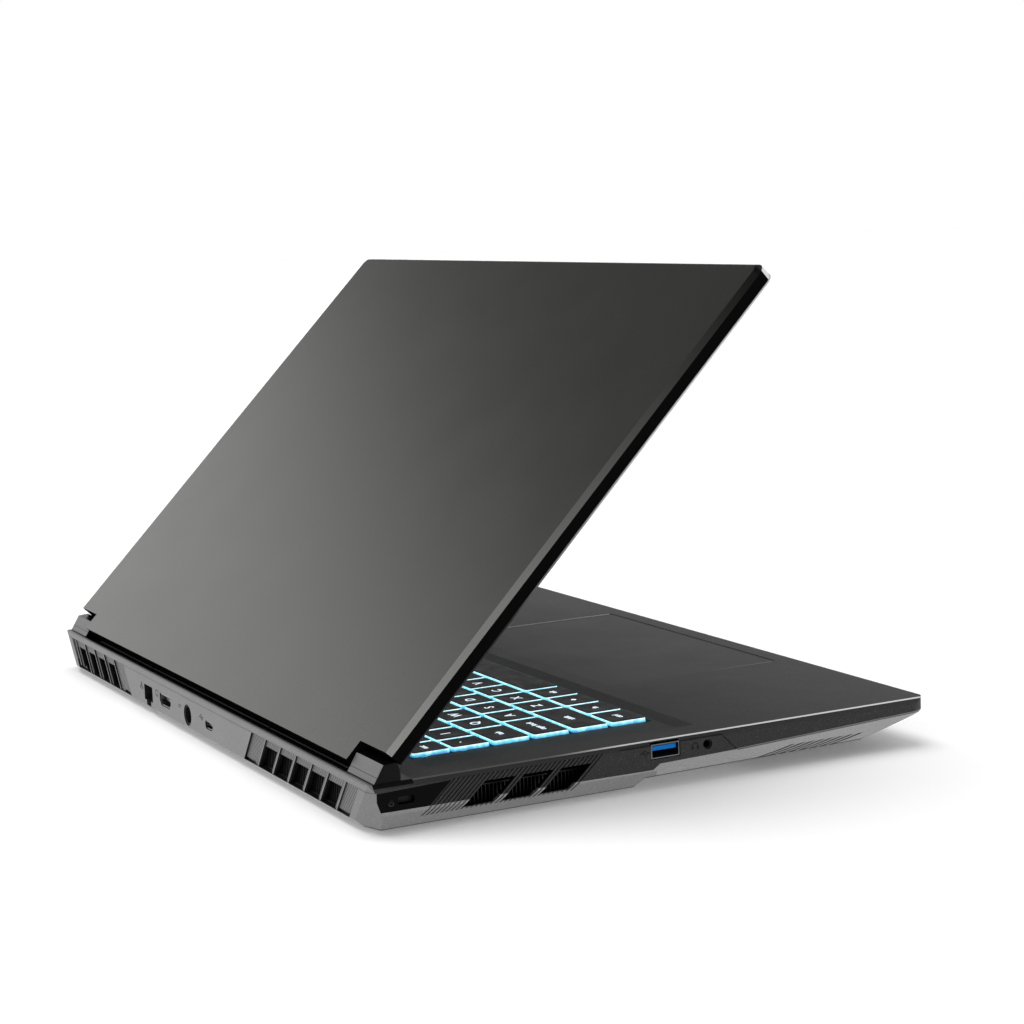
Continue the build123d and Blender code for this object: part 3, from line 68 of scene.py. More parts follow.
# the base
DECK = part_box("palmrest_cover")[1].z                # top of the deck
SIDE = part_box("bottom_shell")[1].x                  # half the width of the base
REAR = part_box("rear_panel")[1].y                    # rear face of the base
WALL_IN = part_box("side_trim_right")[0].x            # inner face of the side walls
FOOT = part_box("bottom_shell")[0].z                  # lowest point of the shell
STRIP_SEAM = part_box("rear_strip")[0].z              # seam between the rear panel and its strip
RIBS_END = 95 * MM                                  # rear end of the ribbed field round the side vents
TRIM_EDGE = DECK - 9.1 * MM                         # lower edge of the side trims, at the rear
TRIM_NARROWS = -33.7 * MM                           # from here that edge rises to the front
TRIM_RISE = 0.0366
UNDERSIDE = DECK - 15.2 * MM                        # underside of the thinner front half, at its rear end
UNDERSIDE_FROM = 10 * MM
UNDERSIDE_RISE = 0.0094
SLOTS_FROM, SLOTS_TO = -116 * MM, -40 * MM          # the speaker slots in the shell's side walls
SLOTS_LOW, SLOTS_HIGH = DECK - 14.7 * MM, DECK - 10.9 * MM

# the hinge and the lid
HINGE = next(j for j in frame["joints"] if j["name"] == "lid_hinge")
HINGE_AT = Vector(HINGE["pos_m"])
LID_OPEN = math.radians(-HINGE["range_deg"][0])     # the lid's rest angle from closed
LID_OUTWARD = Vector((0, math.sin(LID_OPEN), math.cos(LID_OPEN)))
LIPWARD = Vector((0, -math.cos(LID_OPEN), math.sin(LID_OPEN)))     # along the lid, away from its hinge
LID_START = HINGE_AT.dot(LIPWARD)
LID_LENGTH = 257 * MM
CAP_LOW, CAP_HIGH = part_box("hinge_cap_left")
CAP_INNER = -CAP_HIGH.x                             # the caps' inner ends, from the middle
CHANNEL_RADIUS = 7 * MM                             # of the channel that the lid's tongue turns in


# ---- shader helpers --------------------------------------------------------------
class Shader:
    """A node material under construction, with short calls for the nodes it uses."""

    def __init__(self, name, colour, roughness, metallic=0.0, specular=0.5):
        self.material = bpy.data.materials.new(name)
        self.material.use_nodes = True
        self.tree = self.material.node_tree
        self.surface = self.tree.nodes["Principled BSDF"]
        self.surface.inputs["Base Color"].default_value = (*colour, 1.0)
        self.surface.inputs["Roughness"].default_value = roughness
        self.surface.inputs["Metallic"].default_value = metallic
        self.surface.inputs["Specular IOR Level"].default_value = specular
        self.material.diffuse_color = (*colour, 1.0)
        coordinates = self.node("TexCoord")
        self.place = coordinates.outputs["Object"]
        self.facing = coordinates.outputs["Normal"]
        self.axes = None

    def node(self, kind, **settings):
        made = self.tree.nodes.new("ShaderNode" + kind)
        for key, value in settings.items():
            setattr(made, key, value)
        return made

    def put(self, socket, value):
        if isinstance(value, (int, float, tuple)):
            socket.default_value = value
        else:
            self.tree.links.new(value, socket)

    def set(self, socket, value):
        self.put(self.surface.inputs[socket], value)

    def axis(self, letter):
        """One coordinate of the shaded point, in the shared frame at rest."""
        if self.axes is None:
            self.axes = self.node("SeparateXYZ")
            self.put(self.axes.inputs[0], self.place)
        return self.axes.outputs[letter]

    def off_middle(self):
        """Distance of the shaded point from the object's middle plane."""
        return self.absolute(self.axis("X"))

    def dot(self, vector, direction):
        made = self.node("VectorMath", operation="DOT_PRODUCT")
        self.put(made.inputs[0], vector)
        made.inputs[1].default_value = direction
        return made.outputs["Value"]

    def toward(self, direction):
        """How far the surface faces a direction, from -1 to 1."""
        return self.dot(self.facing, direction)

    def sideways(self):
        """How far the surface faces left or right, from 0 to 1."""
        return self.absolute(self.toward(RIGHT))

    def along(self, direction):
        """The shaded point's distance from the origin along a direction, in the shared frame at rest."""
        return self.dot(self.place, direction)

    def noise(self, size, detail=2.0):
        """Soft noise whose features are about size metres across."""
        made = self.node("TexNoise")
        made.inputs["Scale"].default_value = 1 / size
        made.inputs["Detail"].default_value = detail
        self.put(made.inputs["Vector"], self.place)
        return made.outputs["Fac"]

    def flecks(self, size, share):
        """Scattered bright flecks, one where a random cell falls in the given share."""
        made = self.node("TexVoronoi")
        made.inputs["Scale"].default_value = 1 / size
        self.put(made.inputs["Vector"], self.place)
        split = self.node("SeparateColor")
        self.put(split.inputs[0], made.outputs["Color"])
        return self.spread(split.outputs[0], 1 - share, 1.0)

    def spread(self, value, low, high, into_low=0.0, into_high=1.0, smooth=False):
        """Maps a value from one range to another, clamped."""
        made = self.node("MapRange", interpolation_type="SMOOTHSTEP" if smooth else "LINEAR")
        made.inputs["From Min"].default_value = low
        made.inputs["From Max"].default_value = high
        made.inputs["To Min"].default_value = into_low
        made.inputs["To Max"].default_value = into_high
        self.put(made.inputs["Value"], value)
        return made.outputs[0]

    def swing(self, noise, low, high):
        """Maps noise, nearly all of which lies between 0.3 and 0.7, to a range."""
        return self.spread(noise, 0.3, 0.7, low, high)

    def math(self, operation, a, b=0.0):
        made = self.node("Math", operation=operation)
        self.put(made.inputs[0], a)
        self.put(made.inputs[1], b)
        return made.outputs[0]

    def plus(self, a, b):
        return self.math("ADD", a, b)

    def minus(self, a, b):
        return self.math("SUBTRACT", a, b)

    def times(self, a, b):
        return self.math("MULTIPLY", a, b)

    def absolute(self, value):
        return self.math("ABSOLUTE", value)

    def above(self, value, limit):
        return self.math("GREATER_THAN", value, limit)

    def below(self, value, limit):
        return self.math("LESS_THAN", value, limit)

    def between(self, value, low, high):
        return self.both(self.above(value, low), self.below(value, high))

    def near(self, value, middle, reach):
        return self.below(self.absolute(self.minus(value, middle)), reach)

    def both(self, *masks):
        """Where all of the masks are."""
        total = masks[0]
        for mask in masks[1:]:
            total = self.times(total, mask)
        return total

    def either(self, *masks):
        """Where any of the masks is."""
        total = masks[0]
        for mask in masks[1:]:
            total = self.math("MAXIMUM", total, mask)
        return total

    def blend(self, factor, first, second):
        made = self.node("Mix", data_type="RGBA")
        self.put(made.inputs["Factor"], factor)
        for name, value in (("A", first), ("B", second)):
            socket = [s for s in made.inputs if s.name == name and s.type == "RGBA"][0]
            self.put(socket, (*value, 1.0) if isinstance(value, tuple) else value)
        return [s for s in made.outputs if s.type == "RGBA"][0]

    def blend_number(self, factor, first, second):
        made = self.node("Mix", data_type="FLOAT")
        self.put(made.inputs["Factor"], factor)
        for name, value in (("A", first), ("B", second)):
            self.put([s for s in made.inputs if s.name == name and s.type == "VALUE"][0], value)
        return [s for s in made.outputs if s.type == "VALUE"][0]

    def bump(self, height, distance):
        made = self.node("Bump")
        made.inputs["Strength"].default_value = 1.0
        made.inputs["Distance"].default_value = distance
        self.put(made.inputs["Height"], height)
        self.set("Normal", made.outputs[0])


def grey(level):
    """Linear grey from the eye's 0 to 255 scale."""
    share = level / 255
    linear = share / 12.92 if share <= 0.04045 else ((share + 0.055) / 1.055) ** 2.4
    return (linear, linear, linear)


def scaled(colour, factor):
    return tuple(min(1.0, c * factor) for c in colour)


CLOUD_SIZE = 30 * MM


def toned(s, colour, contrast, grain, clouds=0.05):
    """The colour with fine grain and faint larger clouds, and the noise of each."""
    fine = s.noise(grain, 3.0)
    broad = s.noise(CLOUD_SIZE)
    tone = s.plus(s.swing(fine, -contrast, contrast), s.swing(broad, -clouds, clouds))
    tone = s.spread(tone, -0.5, 0.5)
    return s.blend(tone, scaled(colour, 0.5), scaled(colour, 1.5)), fine, broad


def grained(name, colour, roughness, metallic=0.0, grain=0.35 * MM, specular=0.5):
    """Moulded plastic, paint or metal with a fine grain and faint larger clouds."""
    s = Shader(name, colour, roughness, metallic, specular)
    tone, fine, broad = toned(s, colour, 0.1, grain)
    s.set("Base Color", tone)
    s.set("Roughness", s.swing(broad, roughness - 0.04, roughness + 0.04))
    s.bump(fine, 0.01 * MM)
    return s.material


SHELL = grey(118)
DECK_GREY = grey(72)
CHARCOAL = grey(54)
BLACK = grey(7)
INSIDE = grey(34)
KEY_GREY = grey(60)
USB_GREY = grey(80)
BEZEL_GREY = grey(24)
BRIGHT_CUT_AND_HIGHLIGHT = grey(190)       # freshly cut edges, and painted highlights
LID_GREY = (0.127, 0.128, 0.122)


# ---- silver shell ----------------------------------------------------------------
HATCH_PITCH = 2.0 * MM
HATCH_LEAN = 0.8
FIELD_END = SIDE - 8.5 * MM         # outer end of a rear vent field, at the strip's seam
FIELD_LEAN = 0.78
TRAY_END = REAR - 6.5 * MM          # rear end of the tray's inside
TRAY_FLOOR = 2.5 * MM
OPENINGS_END = SIDE - 19 * MM       # the rear panel's openings lie nearer the middle than this
OPENINGS_DEPTH = 3 * MM
OPENINGS_MARGIN = 3.2 * MM          # and this far from the table and from the deck
RECESS_FRONT = -110 * MM            # the shell's recess behind the side trims
RECESS_REAR = REAR - 8 * MM
RECESS_FLOOR = 8 * MM
BEVEL_END = 5 * MM                  # rear end of the bevel under the side walls


def inside_of_shell(s):
    """Mask of the unpainted plastic inside the tray, and of the walls of openings in the rear panel, which get the
    same dark tone as painted shade.
    """
    y, z = s.axis("Y"), s.axis("Z")
    in_tray = s.both(
        s.below(s.off_middle(), WALL_IN + 0.2 * MM),
        s.above(s.toward(UP), -SLIGHTLY),
        s.below(y, TRAY_END),
        s.above(z, TRAY_FLOOR),
    )
    in_opening = s.both(
        s.below(s.toward(REARWARD), SLIGHTLY),
        s.between(y, REAR - OPENINGS_DEPTH, REAR - 0.05 * MM),
        s.below(s.off_middle(), OPENINGS_END),
        s.between(z, OPENINGS_MARGIN, DECK - OPENINGS_MARGIN),
    )
    return s.either(in_tray, in_opening)


def rear_hatch(s):
    """Mask of fine slanted grooves in the sunk fields round the rear vents, mirrored."""
    x, y, z = s.axis("X"), s.axis("Y"), s.axis("Z")
    slant = s.times(s.minus(STRIP_SEAM, z), FIELD_LEAN)
    field = s.both(
        s.between(y, REAR - 1.2 * MM, REAR - 0.4 * MM),
        s.above(s.toward(REARWARD), SQUARELY),
        s.below(s.plus(s.off_middle(), slant), FIELD_END),
    )
    lean = s.times(s.times(z, s.math("SIGN", x)), HATCH_LEAN)
    wave = s.math("SINE", s.times(s.plus(x, lean), 2 * math.pi / HATCH_PITCH))
    return s.both(s.spread(wave, 0.3, -0.5), field)


def strip_seam(s):
    """Mask of the seam between the rear panel and its strip."""
    return s.both(s.near(s.axis("Z"), STRIP_SEAM, 0.17 * MM), s.above(s.toward(REARWARD), SQUARELY))


def above_trim_edge(s):
    """Height above the side trim's lower edge, in the stretch where that edge rises."""
    rise = s.times(s.minus(TRIM_NARROWS, s.axis("Y")), TRIM_RISE)
    return s.minus(s.minus(s.axis("Z"), TRIM_EDGE), rise)


def narrowing(s):
    """Mask of the stretch where the side trim's lower edge rises to the front."""
    return s.below(s.axis("Y"), TRIM_NARROWS)


def trim_shadow(s):
    """Mask of the dark line on the shell just under the side trim."""
    return s.both(s.above(above_trim_edge(s), -0.45 * MM), narrowing(s), s.above(s.off_middle(), WALL_IN))


def slot_walls(s):
    """Mask of the walls inside the speaker slots, which get painted shade."""
    return s.both(
        s.between(s.axis("Y"), SLOTS_FROM, SLOTS_TO),
        s.between(s.axis("Z"), SLOTS_LOW, SLOTS_HIGH),
        s.below(s.sideways(), SLIGHTLY),
    )


def side_recess(s):
    """Mask of the shell behind the side trim, which shows through the lock slot and the vents; it gets painted
    shade.
    """
    return s.both(
        s.between(s.off_middle(), WALL_IN - 0.2 * MM, SIDE - 1.2 * MM),
        s.between(s.axis("Y"), RECESS_FRONT, RECESS_REAR),
        s.above(s.axis("Z"), RECESS_FLOOR),
    )


def painted_foot_shadow(s):
    """Mask of a narrow line of painted shadow along the foot of the shell's walls."""
    y, z = s.axis("Y"), s.axis("Z")
    rear_half = s.below(z, FOOT + 0.4 * MM)
    rise = s.times(s.minus(UNDERSIDE_FROM, y), UNDERSIDE_RISE)
    above_underside = s.minus(s.minus(z, UNDERSIDE), rise)
    front_half = s.both(s.below(above_underside, 0.45 * MM), s.below(y, UNDERSIDE_FROM))
    upright = s.below(s.absolute(s.toward(UP)), 0.6)
    return s.both(s.either(rear_half, front_half), upright)


def front_bevel(s):
    """Mask of the bevel under the side walls of the front half, which gets a painted highlight."""
    front_half = s.below(s.axis("Y"), BEVEL_END)
    return s.both(s.below(s.toward(UP), -SLIGHTLY), front_half, s.above(s.sideways(), SLIGHTLY))


def shell_paint():
    """Silver grey metallic paint, hatched round the rear vents, with dark lines at its seams; painted shade in the
    hatch's grooves, the speaker slots, the recess behind the side trims and along the walls' foot, a painted
    shadow under the trims, and a painted highlight on the front bevel.
    """
    s = Shader("shell_paint", SHELL, 0.4, 0.5, 0.4)
    tone, fine, broad = toned(s, SHELL, 0.16, 0.45 * MM)
    tone = s.blend(s.times(s.flecks(0.5 * MM, 0.12), 0.25), tone, scaled(SHELL, 1.7))
    # painted highlight on the bevel under the front side walls
    tone = s.blend(front_bevel(s), tone, scaled(SHELL, 1.5))
    hatch, recess = rear_hatch(s), side_recess(s)
    # dark lines: the real seam, and painted shade in the hatch's grooves, the slots, the recess, under the trims
    # and along the walls' foot
    lines = s.either(hatch, strip_seam(s), trim_shadow(s), slot_walls(s), recess, painted_foot_shadow(s))
    tone = s.blend(s.times(lines, 0.85), tone, scaled(SHELL, 0.12))
    s.set("Base Color", s.blend(inside_of_shell(s), tone, INSIDE))
    s.set("Specular IOR Level", s.blend_number(recess, 0.4, 0.0))
    s.set("Roughness", s.swing(broad, 0.36, 0.44))
    s.bump(s.minus(s.times(fine, 0.06), hatch), 0.18 * MM)
    return s.material


# ---- deck and touchpad -----------------------------------------------------------
EDGE_CUT = 0.5 * MM                 # height of the bright cut along the deck's side edges
FRONT_CUT = 0.8 * MM                # and along its front edge
FRONT_STRETCH = -130 * MM           # the front edge lies in front of this
CUT_FADE = (60 * MM, 15 * MM)       # the cut's painted highlight brightens between these two places, from rear to front
CHANNEL_HIGHLIGHT_STRIPES = (0.9 * MM, -1.6 * MM)     # middles of the channel's painted highlight stripes, from the hinge's axis


def deck_walls(s):
    """Mask of the deck's outer side walls."""
    return s.both(s.above(s.sideways(), 0.45), s.above(s.off_middle(), WALL_IN))


def deck_edges(s):
    """Mask of the cut along the deck's side and front edges."""
    z = s.axis("Z")
    side = s.both(deck_walls(s), s.above(z, DECK - EDGE_CUT))
    facing_front = s.above(s.toward(FORWARD), 0.4)
    front = s.both(facing_front, s.above(z, DECK - FRONT_CUT), s.below(s.axis("Y"), FRONT_STRETCH))
    return s.either(side, front)


def hinge_channel(s):
    """Mask of the deck between the hinge caps, where the lid's tongue turns."""
    return s.both(s.above(s.axis("Y"), CAP_LOW.y - 0.5 * MM), s.below(s.off_middle(), CAP_INNER))


def round_hinge_caps(s):
    """Mask of the deck round and behind the hinge caps."""
    y = s.axis("Y")
    corner = s.both(s.above(y, CAP_LOW.y - 4.5 * MM), s.above(s.off_middle(), CAP_INNER - 2 * MM))
    return s.either(corner, s.above(y, CAP_HIGH.y + 0.5 * MM))


def channel_highlights(s):
    """Mask of the ribs that stand in the channel, and of stripes along its floor, all of which get a painted
    highlight.
    """
    y, z = s.axis("Y"), s.axis("Z")
    across = s.math("POWER", s.minus(y, HINGE_AT.y), 2.0)
    up = s.math("POWER", s.minus(z, HINGE_AT.z), 2.0)
    ribs = s.below(s.plus(across, up), (CHANNEL_RADIUS - 0.1 * MM) ** 2)
    for middle in CHANNEL_HIGHLIGHT_STRIPES:
        ribs = s.either(ribs, s.near(y, HINGE_AT.y + middle, 0.45 * MM))
    return s.both(ribs, hinge_channel(s), s.below(z, DECK - 2 * MM))


def pad_wall_highlight(s):
    """Mask of the edge of the touchpad's opening, on the user's right, which gets a painted highlight."""
    low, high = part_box("touchpad")
    beside = s.between(s.axis("X"), high.x, high.x + MM)
    return s.both(s.between(s.axis("Y"), low.y - MM, high.y + MM), beside, s.above(s.sideways(), 0.5))


def deck_metal():
    """Dark blasted aluminium: bright on its cut edges, with a painted highlight that grows to the front, and black
    round the hinge caps and in the channel; painted highlights on the channel's ribs and stripes and on the right
    edge of the touchpad's opening.
    """
    s = Shader("deck_metal", DECK_GREY, 0.5, 0.0, 0.06)
    tone, fine, broad = toned(s, DECK_GREY, 0.14, 0.4 * MM)
    tone = s.blend(s.times(s.flecks(0.6 * MM, 0.05), 0.2), tone, grey(140))
    tone = s.blend(deck_walls(s), tone, CHARCOAL)
    edges = deck_edges(s)
    # the bright cut is real; its fade from dim at the rear to bright at the front is a painted highlight
    bright = s.both(edges, s.spread(s.axis("Y"), *CUT_FADE, 0.15, 1.0, smooth=True))
    tone = s.blend(bright, tone, BRIGHT_CUT_AND_HIGHLIGHT)
    channel = hinge_channel(s)
    black = s.either(round_hinge_caps(s), channel)
    tone = s.blend(black, tone, BLACK)
    # painted highlights on the channel's ribs and stripes
    tone = s.blend(channel_highlights(s), tone, grey(84))
    # painted highlight on that edge of the opening
    s.set("Base Color", s.blend(pad_wall_highlight(s), tone, grey(235)))
    s.set("Metallic", s.both(bright, s.minus(1.0, black)))
    s.set("Specular IOR Level", s.blend_number(channel, 0.06, 0.0))
    s.set("Roughness", s.blend_number(s.either(edges, black), s.swing(broad, 0.44, 0.52), 0.28))
    s.bump(fine, 0.012 * MM)
    return s.material


def touchpad_surface():
    """The deck's grey, with a bright cut round the pad's edge and a short painted highlight line near its left
    edge, fading to the rear.
    """
    s = Shader("touchpad_surface", DECK_GREY, 0.45, 0.0, 0.06)
    tone, fine, broad = toned(s, DECK_GREY, 0.08, 0.3 * MM, 0.02)
    x, y = s.axis("X"), s.axis("Y")
    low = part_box("touchpad")[0]
    line = s.both(s.between(x, low.x + 0.75 * MM, low.x + 1.2 * MM), s.above(y, low.y + 2 * MM))
    painted_edge_highlight = s.both(line, s.spread(y, low.y + 5 * MM, low.y + 40 * MM, 0.6, 0.0))
    # the cut round the edge is real; the line near the left edge is a painted highlight
    cut = s.either(s.spread(s.toward(UP), 0.95, 0.8), painted_edge_highlight)
    s.set("Base Color", s.blend(cut, tone, BRIGHT_CUT_AND_HIGHLIGHT))
    s.set("Metallic", cut)
    s.set("Roughness", s.blend_number(cut, s.swing(broad, 0.42, 0.48), 0.25))
    s.bump(fine, 0.006 * MM)
    return s.material


# ---- side trims and hinge caps ---------------------------------------------------
GLOSS_LEAN = 1.1                    # the front end of the glossy part leans like the vents
GLOSS_SLOPE = 0.03                  # and its upper edge falls to the rear


def side_plastic():
    """Charcoal speckled plastic in front, glossy black behind the ribbed vents; a painted highlight line along its
    lower edge in front, and painted shade on the walls of its grooves and openings.
    """
    s = Shader("side_plastic", CHARCOAL, 0.55, 0.0, 0.07)
    tone, fine, broad = toned(s, CHARCOAL, 0.22, 0.55 * MM)
    tone = s.blend(s.times(s.flecks(0.5 * MM, 0.06), 0.2), tone, grey(110))
    y, z = s.axis("Y"), s.axis("Z")
    rear_of_vents = s.above(s.plus(y, s.times(s.minus(z, DECK), GLOSS_LEAN)), RIBS_END)
    low = s.below(s.plus(z, s.times(y, GLOSS_SLOPE)), DECK + 0.6 * MM)
    glossy = s.both(rear_of_vents, low)
    # painted highlight along the trim's lower edge, where it rises to the front
    foot_highlight = s.both(s.below(above_trim_edge(s), 0.3 * MM), narrowing(s))
    tone = s.blend(foot_highlight, tone, grey(120))
    tone = s.blend(glossy, tone, BLACK)
    # painted shade on the walls that don't face sideways: in the grooves, vents and ports
    shaded_walls = s.below(s.sideways(), 0.4)
    s.set("Base Color", s.blend(shaded_walls, tone, BLACK))
    gloss = s.blend_number(glossy, 0.07, 0.035)
    s.set("Specular IOR Level", s.blend_number(shaded_walls, gloss, 0.0))
    s.set("Roughness", s.blend_number(glossy, s.swing(broad, 0.5, 0.6), 0.14))
    s.bump(s.times(fine, s.minus(1.0, glossy)), 0.04 * MM)
    return s.material


def hinge_cap_paint():
    """Glossy black, with the shell's silver paint and a seam on the sloped rear face."""
    s = Shader("hinge_cap_paint", BLACK, 0.2, 0.0, 0.08)
    silver, fine, _ = toned(s, SHELL, 0.14, 0.45 * MM)
    rear = s.both(s.above(s.toward(REARWARD), 0.5), s.above(s.axis("Y"), CAP_HIGH.y - 5 * MM))
    seam_height = DECK + 0.3 * (CAP_HIGH.z - DECK)
    seam = s.near(s.axis("Z"), seam_height, 0.15 * MM)
    silver = s.blend(s.times(seam, 0.7), silver, scaled(SHELL, 0.2))
    s.set("Base Color", s.blend(rear, BLACK, silver))
    s.set("Metallic", s.times(rear, 0.3))
    s.set("Roughness", s.blend_number(rear, 0.2, 0.45))
    s.bump(fine, 0.008 * MM)
    return s.material


# ---- lid -------------------------------------------------------------------------
# the chamfer's painted reflection: light near the hinge, dark near the lip
CHAMFER_REFLECTION = scaled(LID_GREY, 5.0)
REFLECTION_AT_HINGE = 0.85                # share of that painted reflection's light tone on the chamfer at the hinge; none at the lip
DARK_REFLECTION_AT_LIP = 0.8                  # share of black, a painted dark reflection, on the chamfer at the lip
DARK_REFLECTION_FROM = 0.35 * LID_LENGTH       # where the painted dark reflection starts
WALL_TONE = scaled(BLACK, 1.6)
CORNER_HIGHLIGHT = grey(225)
RIM_HIGHLIGHT_START = 0.3 * LID_LENGTH      # the rim's painted highlight is off up to here, and full from the next on
RIM_HIGHLIGHT_FULL = 0.7 * LID_LENGTH


def from_hinge(s):
    """Distance along the lid from its hinge."""
    return s.minus(s.along(LIPWARD), LID_START)


def lid_metal():
    """Anodised aluminium back with a fine blasted grain, and a painted reflection on its chamfer, light at the
    hinge and dark at the lip; dull black walls with a painted highlight at the left corner.
    """
    s = Shader("lid_metal", LID_GREY, 0.25, 1.0)
    tone, fine, broad = toned(s, LID_GREY, 0.1, 0.5 * MM, 0.015)
    back = s.spread(s.toward(LID_OUTWARD), 0.25, 0.45)
    chamfer = s.both(s.above(s.sideways(), SLIGHTLY), back)
    # painted reflection on the chamfer: light toward the hinge, dark toward the lip
    light = s.spread(from_hinge(s), 0.0, LID_LENGTH, REFLECTION_AT_HINGE, 0.0)
    tone = s.blend(s.times(chamfer, light), tone, CHAMFER_REFLECTION)
    dark = s.spread(from_hinge(s), DARK_REFLECTION_FROM, LID_LENGTH, 0.0, DARK_REFLECTION_AT_LIP)
    tone = s.blend(s.times(chamfer, dark), tone, BLACK)
    # painted highlight on the walls' rounded left corner at the lip
    left_corner = s.both(s.above(s.toward(LIPWARD), 0.4), s.above(s.toward(LEFT), 0.4))
    wall = s.blend(left_corner, WALL_TONE, CORNER_HIGHLIGHT)
    s.set("Base Color", s.blend(back, wall, tone))
    s.set("Metallic", back)
    s.set("Specular IOR Level", s.blend_number(back, 0.0, 0.5))
    s.set("Roughness", s.blend_number(back, 0.25, s.swing(broad, 0.23, 0.26)))
    s.bump(fine, 0.004 * MM)
    return s.material


def bezel_plastic():
    """Dark plastic; the frame's outer edge, which is the lid's rim, has a painted highlight on its upper part."""
    s = Shader("bezel_plastic", BEZEL_GREY, 0.5, 0.0, 0.2)
    tone, fine, broad = toned(s, BEZEL_GREY, 0.1, 0.6 * MM)
    rim = s.both(s.above(s.off_middle(), SIDE - 4 * MM), s.above(s.sideways(), 0.5))
    # painted highlight on the rim
    rim_highlight = s.both(rim, s.spread(from_hinge(s), RIM_HIGHLIGHT_START, RIM_HIGHLIGHT_FULL))
    s.set("Base Color", s.blend(rim_highlight, tone, BRIGHT_CUT_AND_HIGHLIGHT))
    s.set("Roughness", s.swing(broad, 0.46, 0.54))
    s.bump(fine, 0.01 * MM)
    return s.material


def screen_glass():
    """Switched-off display: near black, with a faint satin haze."""
    s = Shader("screen_glass", grey(10), 0.22, 0.0, 0.4)
    haze = s.noise(40 * MM)
    s.set("Base Color", s.blend(haze, grey(7), grey(13)))
    s.set("Roughness", s.swing(haze, 0.18, 0.26))
    return s.material


# ---- ports and keys --------------------------------------------------------------
def usb_steel():
    """Nickelled port shell with painted shade inside, and a blue tongue in its mouth."""
    s = Shader("usb_steel", USB_GREY, 0.28, 1.0)
    tone, fine, _ = toned(s, USB_GREY, 0.06, 0.6 * MM)
    low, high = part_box("usb_port_left")
    middle, half = (low.y + high.y) / 2, (high.y - low.y) / 2
    tongue = s.both(
        s.near(s.axis("Y"), middle, half - 0.7 * MM),
        s.between(s.axis("Z"), high.z - 3.2 * MM, high.z - 0.6 * MM),
        s.below(s.off_middle(), SIDE - 0.9 * MM),
    )
    # painted shade inside the port
    shaded_hollow = s.below(s.off_middle(), SIDE - 1.2 * MM)
    tone = s.blend(shaded_hollow, tone, grey(30))
    s.set("Base Color", s.blend(tongue, tone, (0.0, 0.17, 0.55)))
    s.set("Specular IOR Level", s.blend_number(tongue, 0.5, 0.1))
    s.set("Metallic", s.minus(1.0, s.either(tongue, shaded_hollow)))
    s.set("Roughness", s.blend_number(tongue, 0.3, 0.45))
    s.bump(fine, 0.006 * MM)
    return s.material


def backlight():
    """The lit sheet under the keys; only its upper face glows."""
    s = Shader("backlight", (0.2, 0.6, 0.72), 0.6)
    cloud = s.noise(9 * MM)
    s.set("Emission Color", s.blend(cloud, (0.1, 0.5, 0.75), (0.3, 0.85, 1.0)))
    s.set("Emission Strength", s.times(s.above(s.toward(UP), 0.5), 0.9))
    return s.material


# painted glow colours of a key's skirt, where the backlight shines through: at its foot, at its top, and at places
# between them
SKIRT_FOOT = (0.0, 0.08, 0.34, 1)
SKIRT_TOP = (0.92, 0.98, 1.0, 1)
SKIRT_STOPS = (
    (0.25, (0.01, 0.3, 0.58, 1)),
    (0.5, (0.1, 0.64, 0.76, 1)),
    (0.8, (0.45, 0.86, 0.92, 1)),
)


def key_skirt():
    """The translucent foot of a key, with a painted glow of the backlight shining through: white at the top, blue
    at the foot.
    """
    s = Shader("key_skirt", (0.35, 0.7, 0.78), 0.35)
    height = s.spread(s.axis("Z"), DECK - 1.6 * MM, KEY_TOP - 0.2 * MM)
    patches = s.noise(2.2 * MM)
    ramp = s.node("ValToRGB")
    s.put(ramp.inputs[0], s.plus(height, s.swing(patches, -0.22, 0.22)))
    stops = ramp.color_ramp.elements
    stops[0].position, stops[0].color = 0.0, SKIRT_FOOT
    stops[1].position, stops[1].color = 1.0, SKIRT_TOP
    for position, colour in SKIRT_STOPS:
        stops.new(position).color = colour
    s.set("Emission Color", ramp.outputs[0])
    s.set("Emission Strength", 1.0)
    return s.material


def key_plastic():
    """Soft touch black key tops, slightly shiny where fingers land."""
    s = Shader("key_plastic", KEY_GREY, 0.5, 0.0, 0.1)
    tone, fine, _ = toned(s, KEY_GREY, 0.12, 0.3 * MM)
    wear = s.noise(7 * MM)
    s.set("Base Color", tone)
    s.set("Roughness", s.swing(wear, 0.42, 0.56))
    s.bump(fine, 0.01 * MM)
    return s.material


def key_legend():
    """Letters with a painted glow of the backlight, a little uneven."""
    s = Shader("key_legend", (0.8, 0.9, 1.0), 0.5)
    soft = s.noise(1.5 * MM)
    s.set("Emission Color", s.blend(soft, (0.55, 0.72, 0.85), (0.85, 0.95, 1.0)))
    s.set("Emission Strength", 1.1)
    return s.material


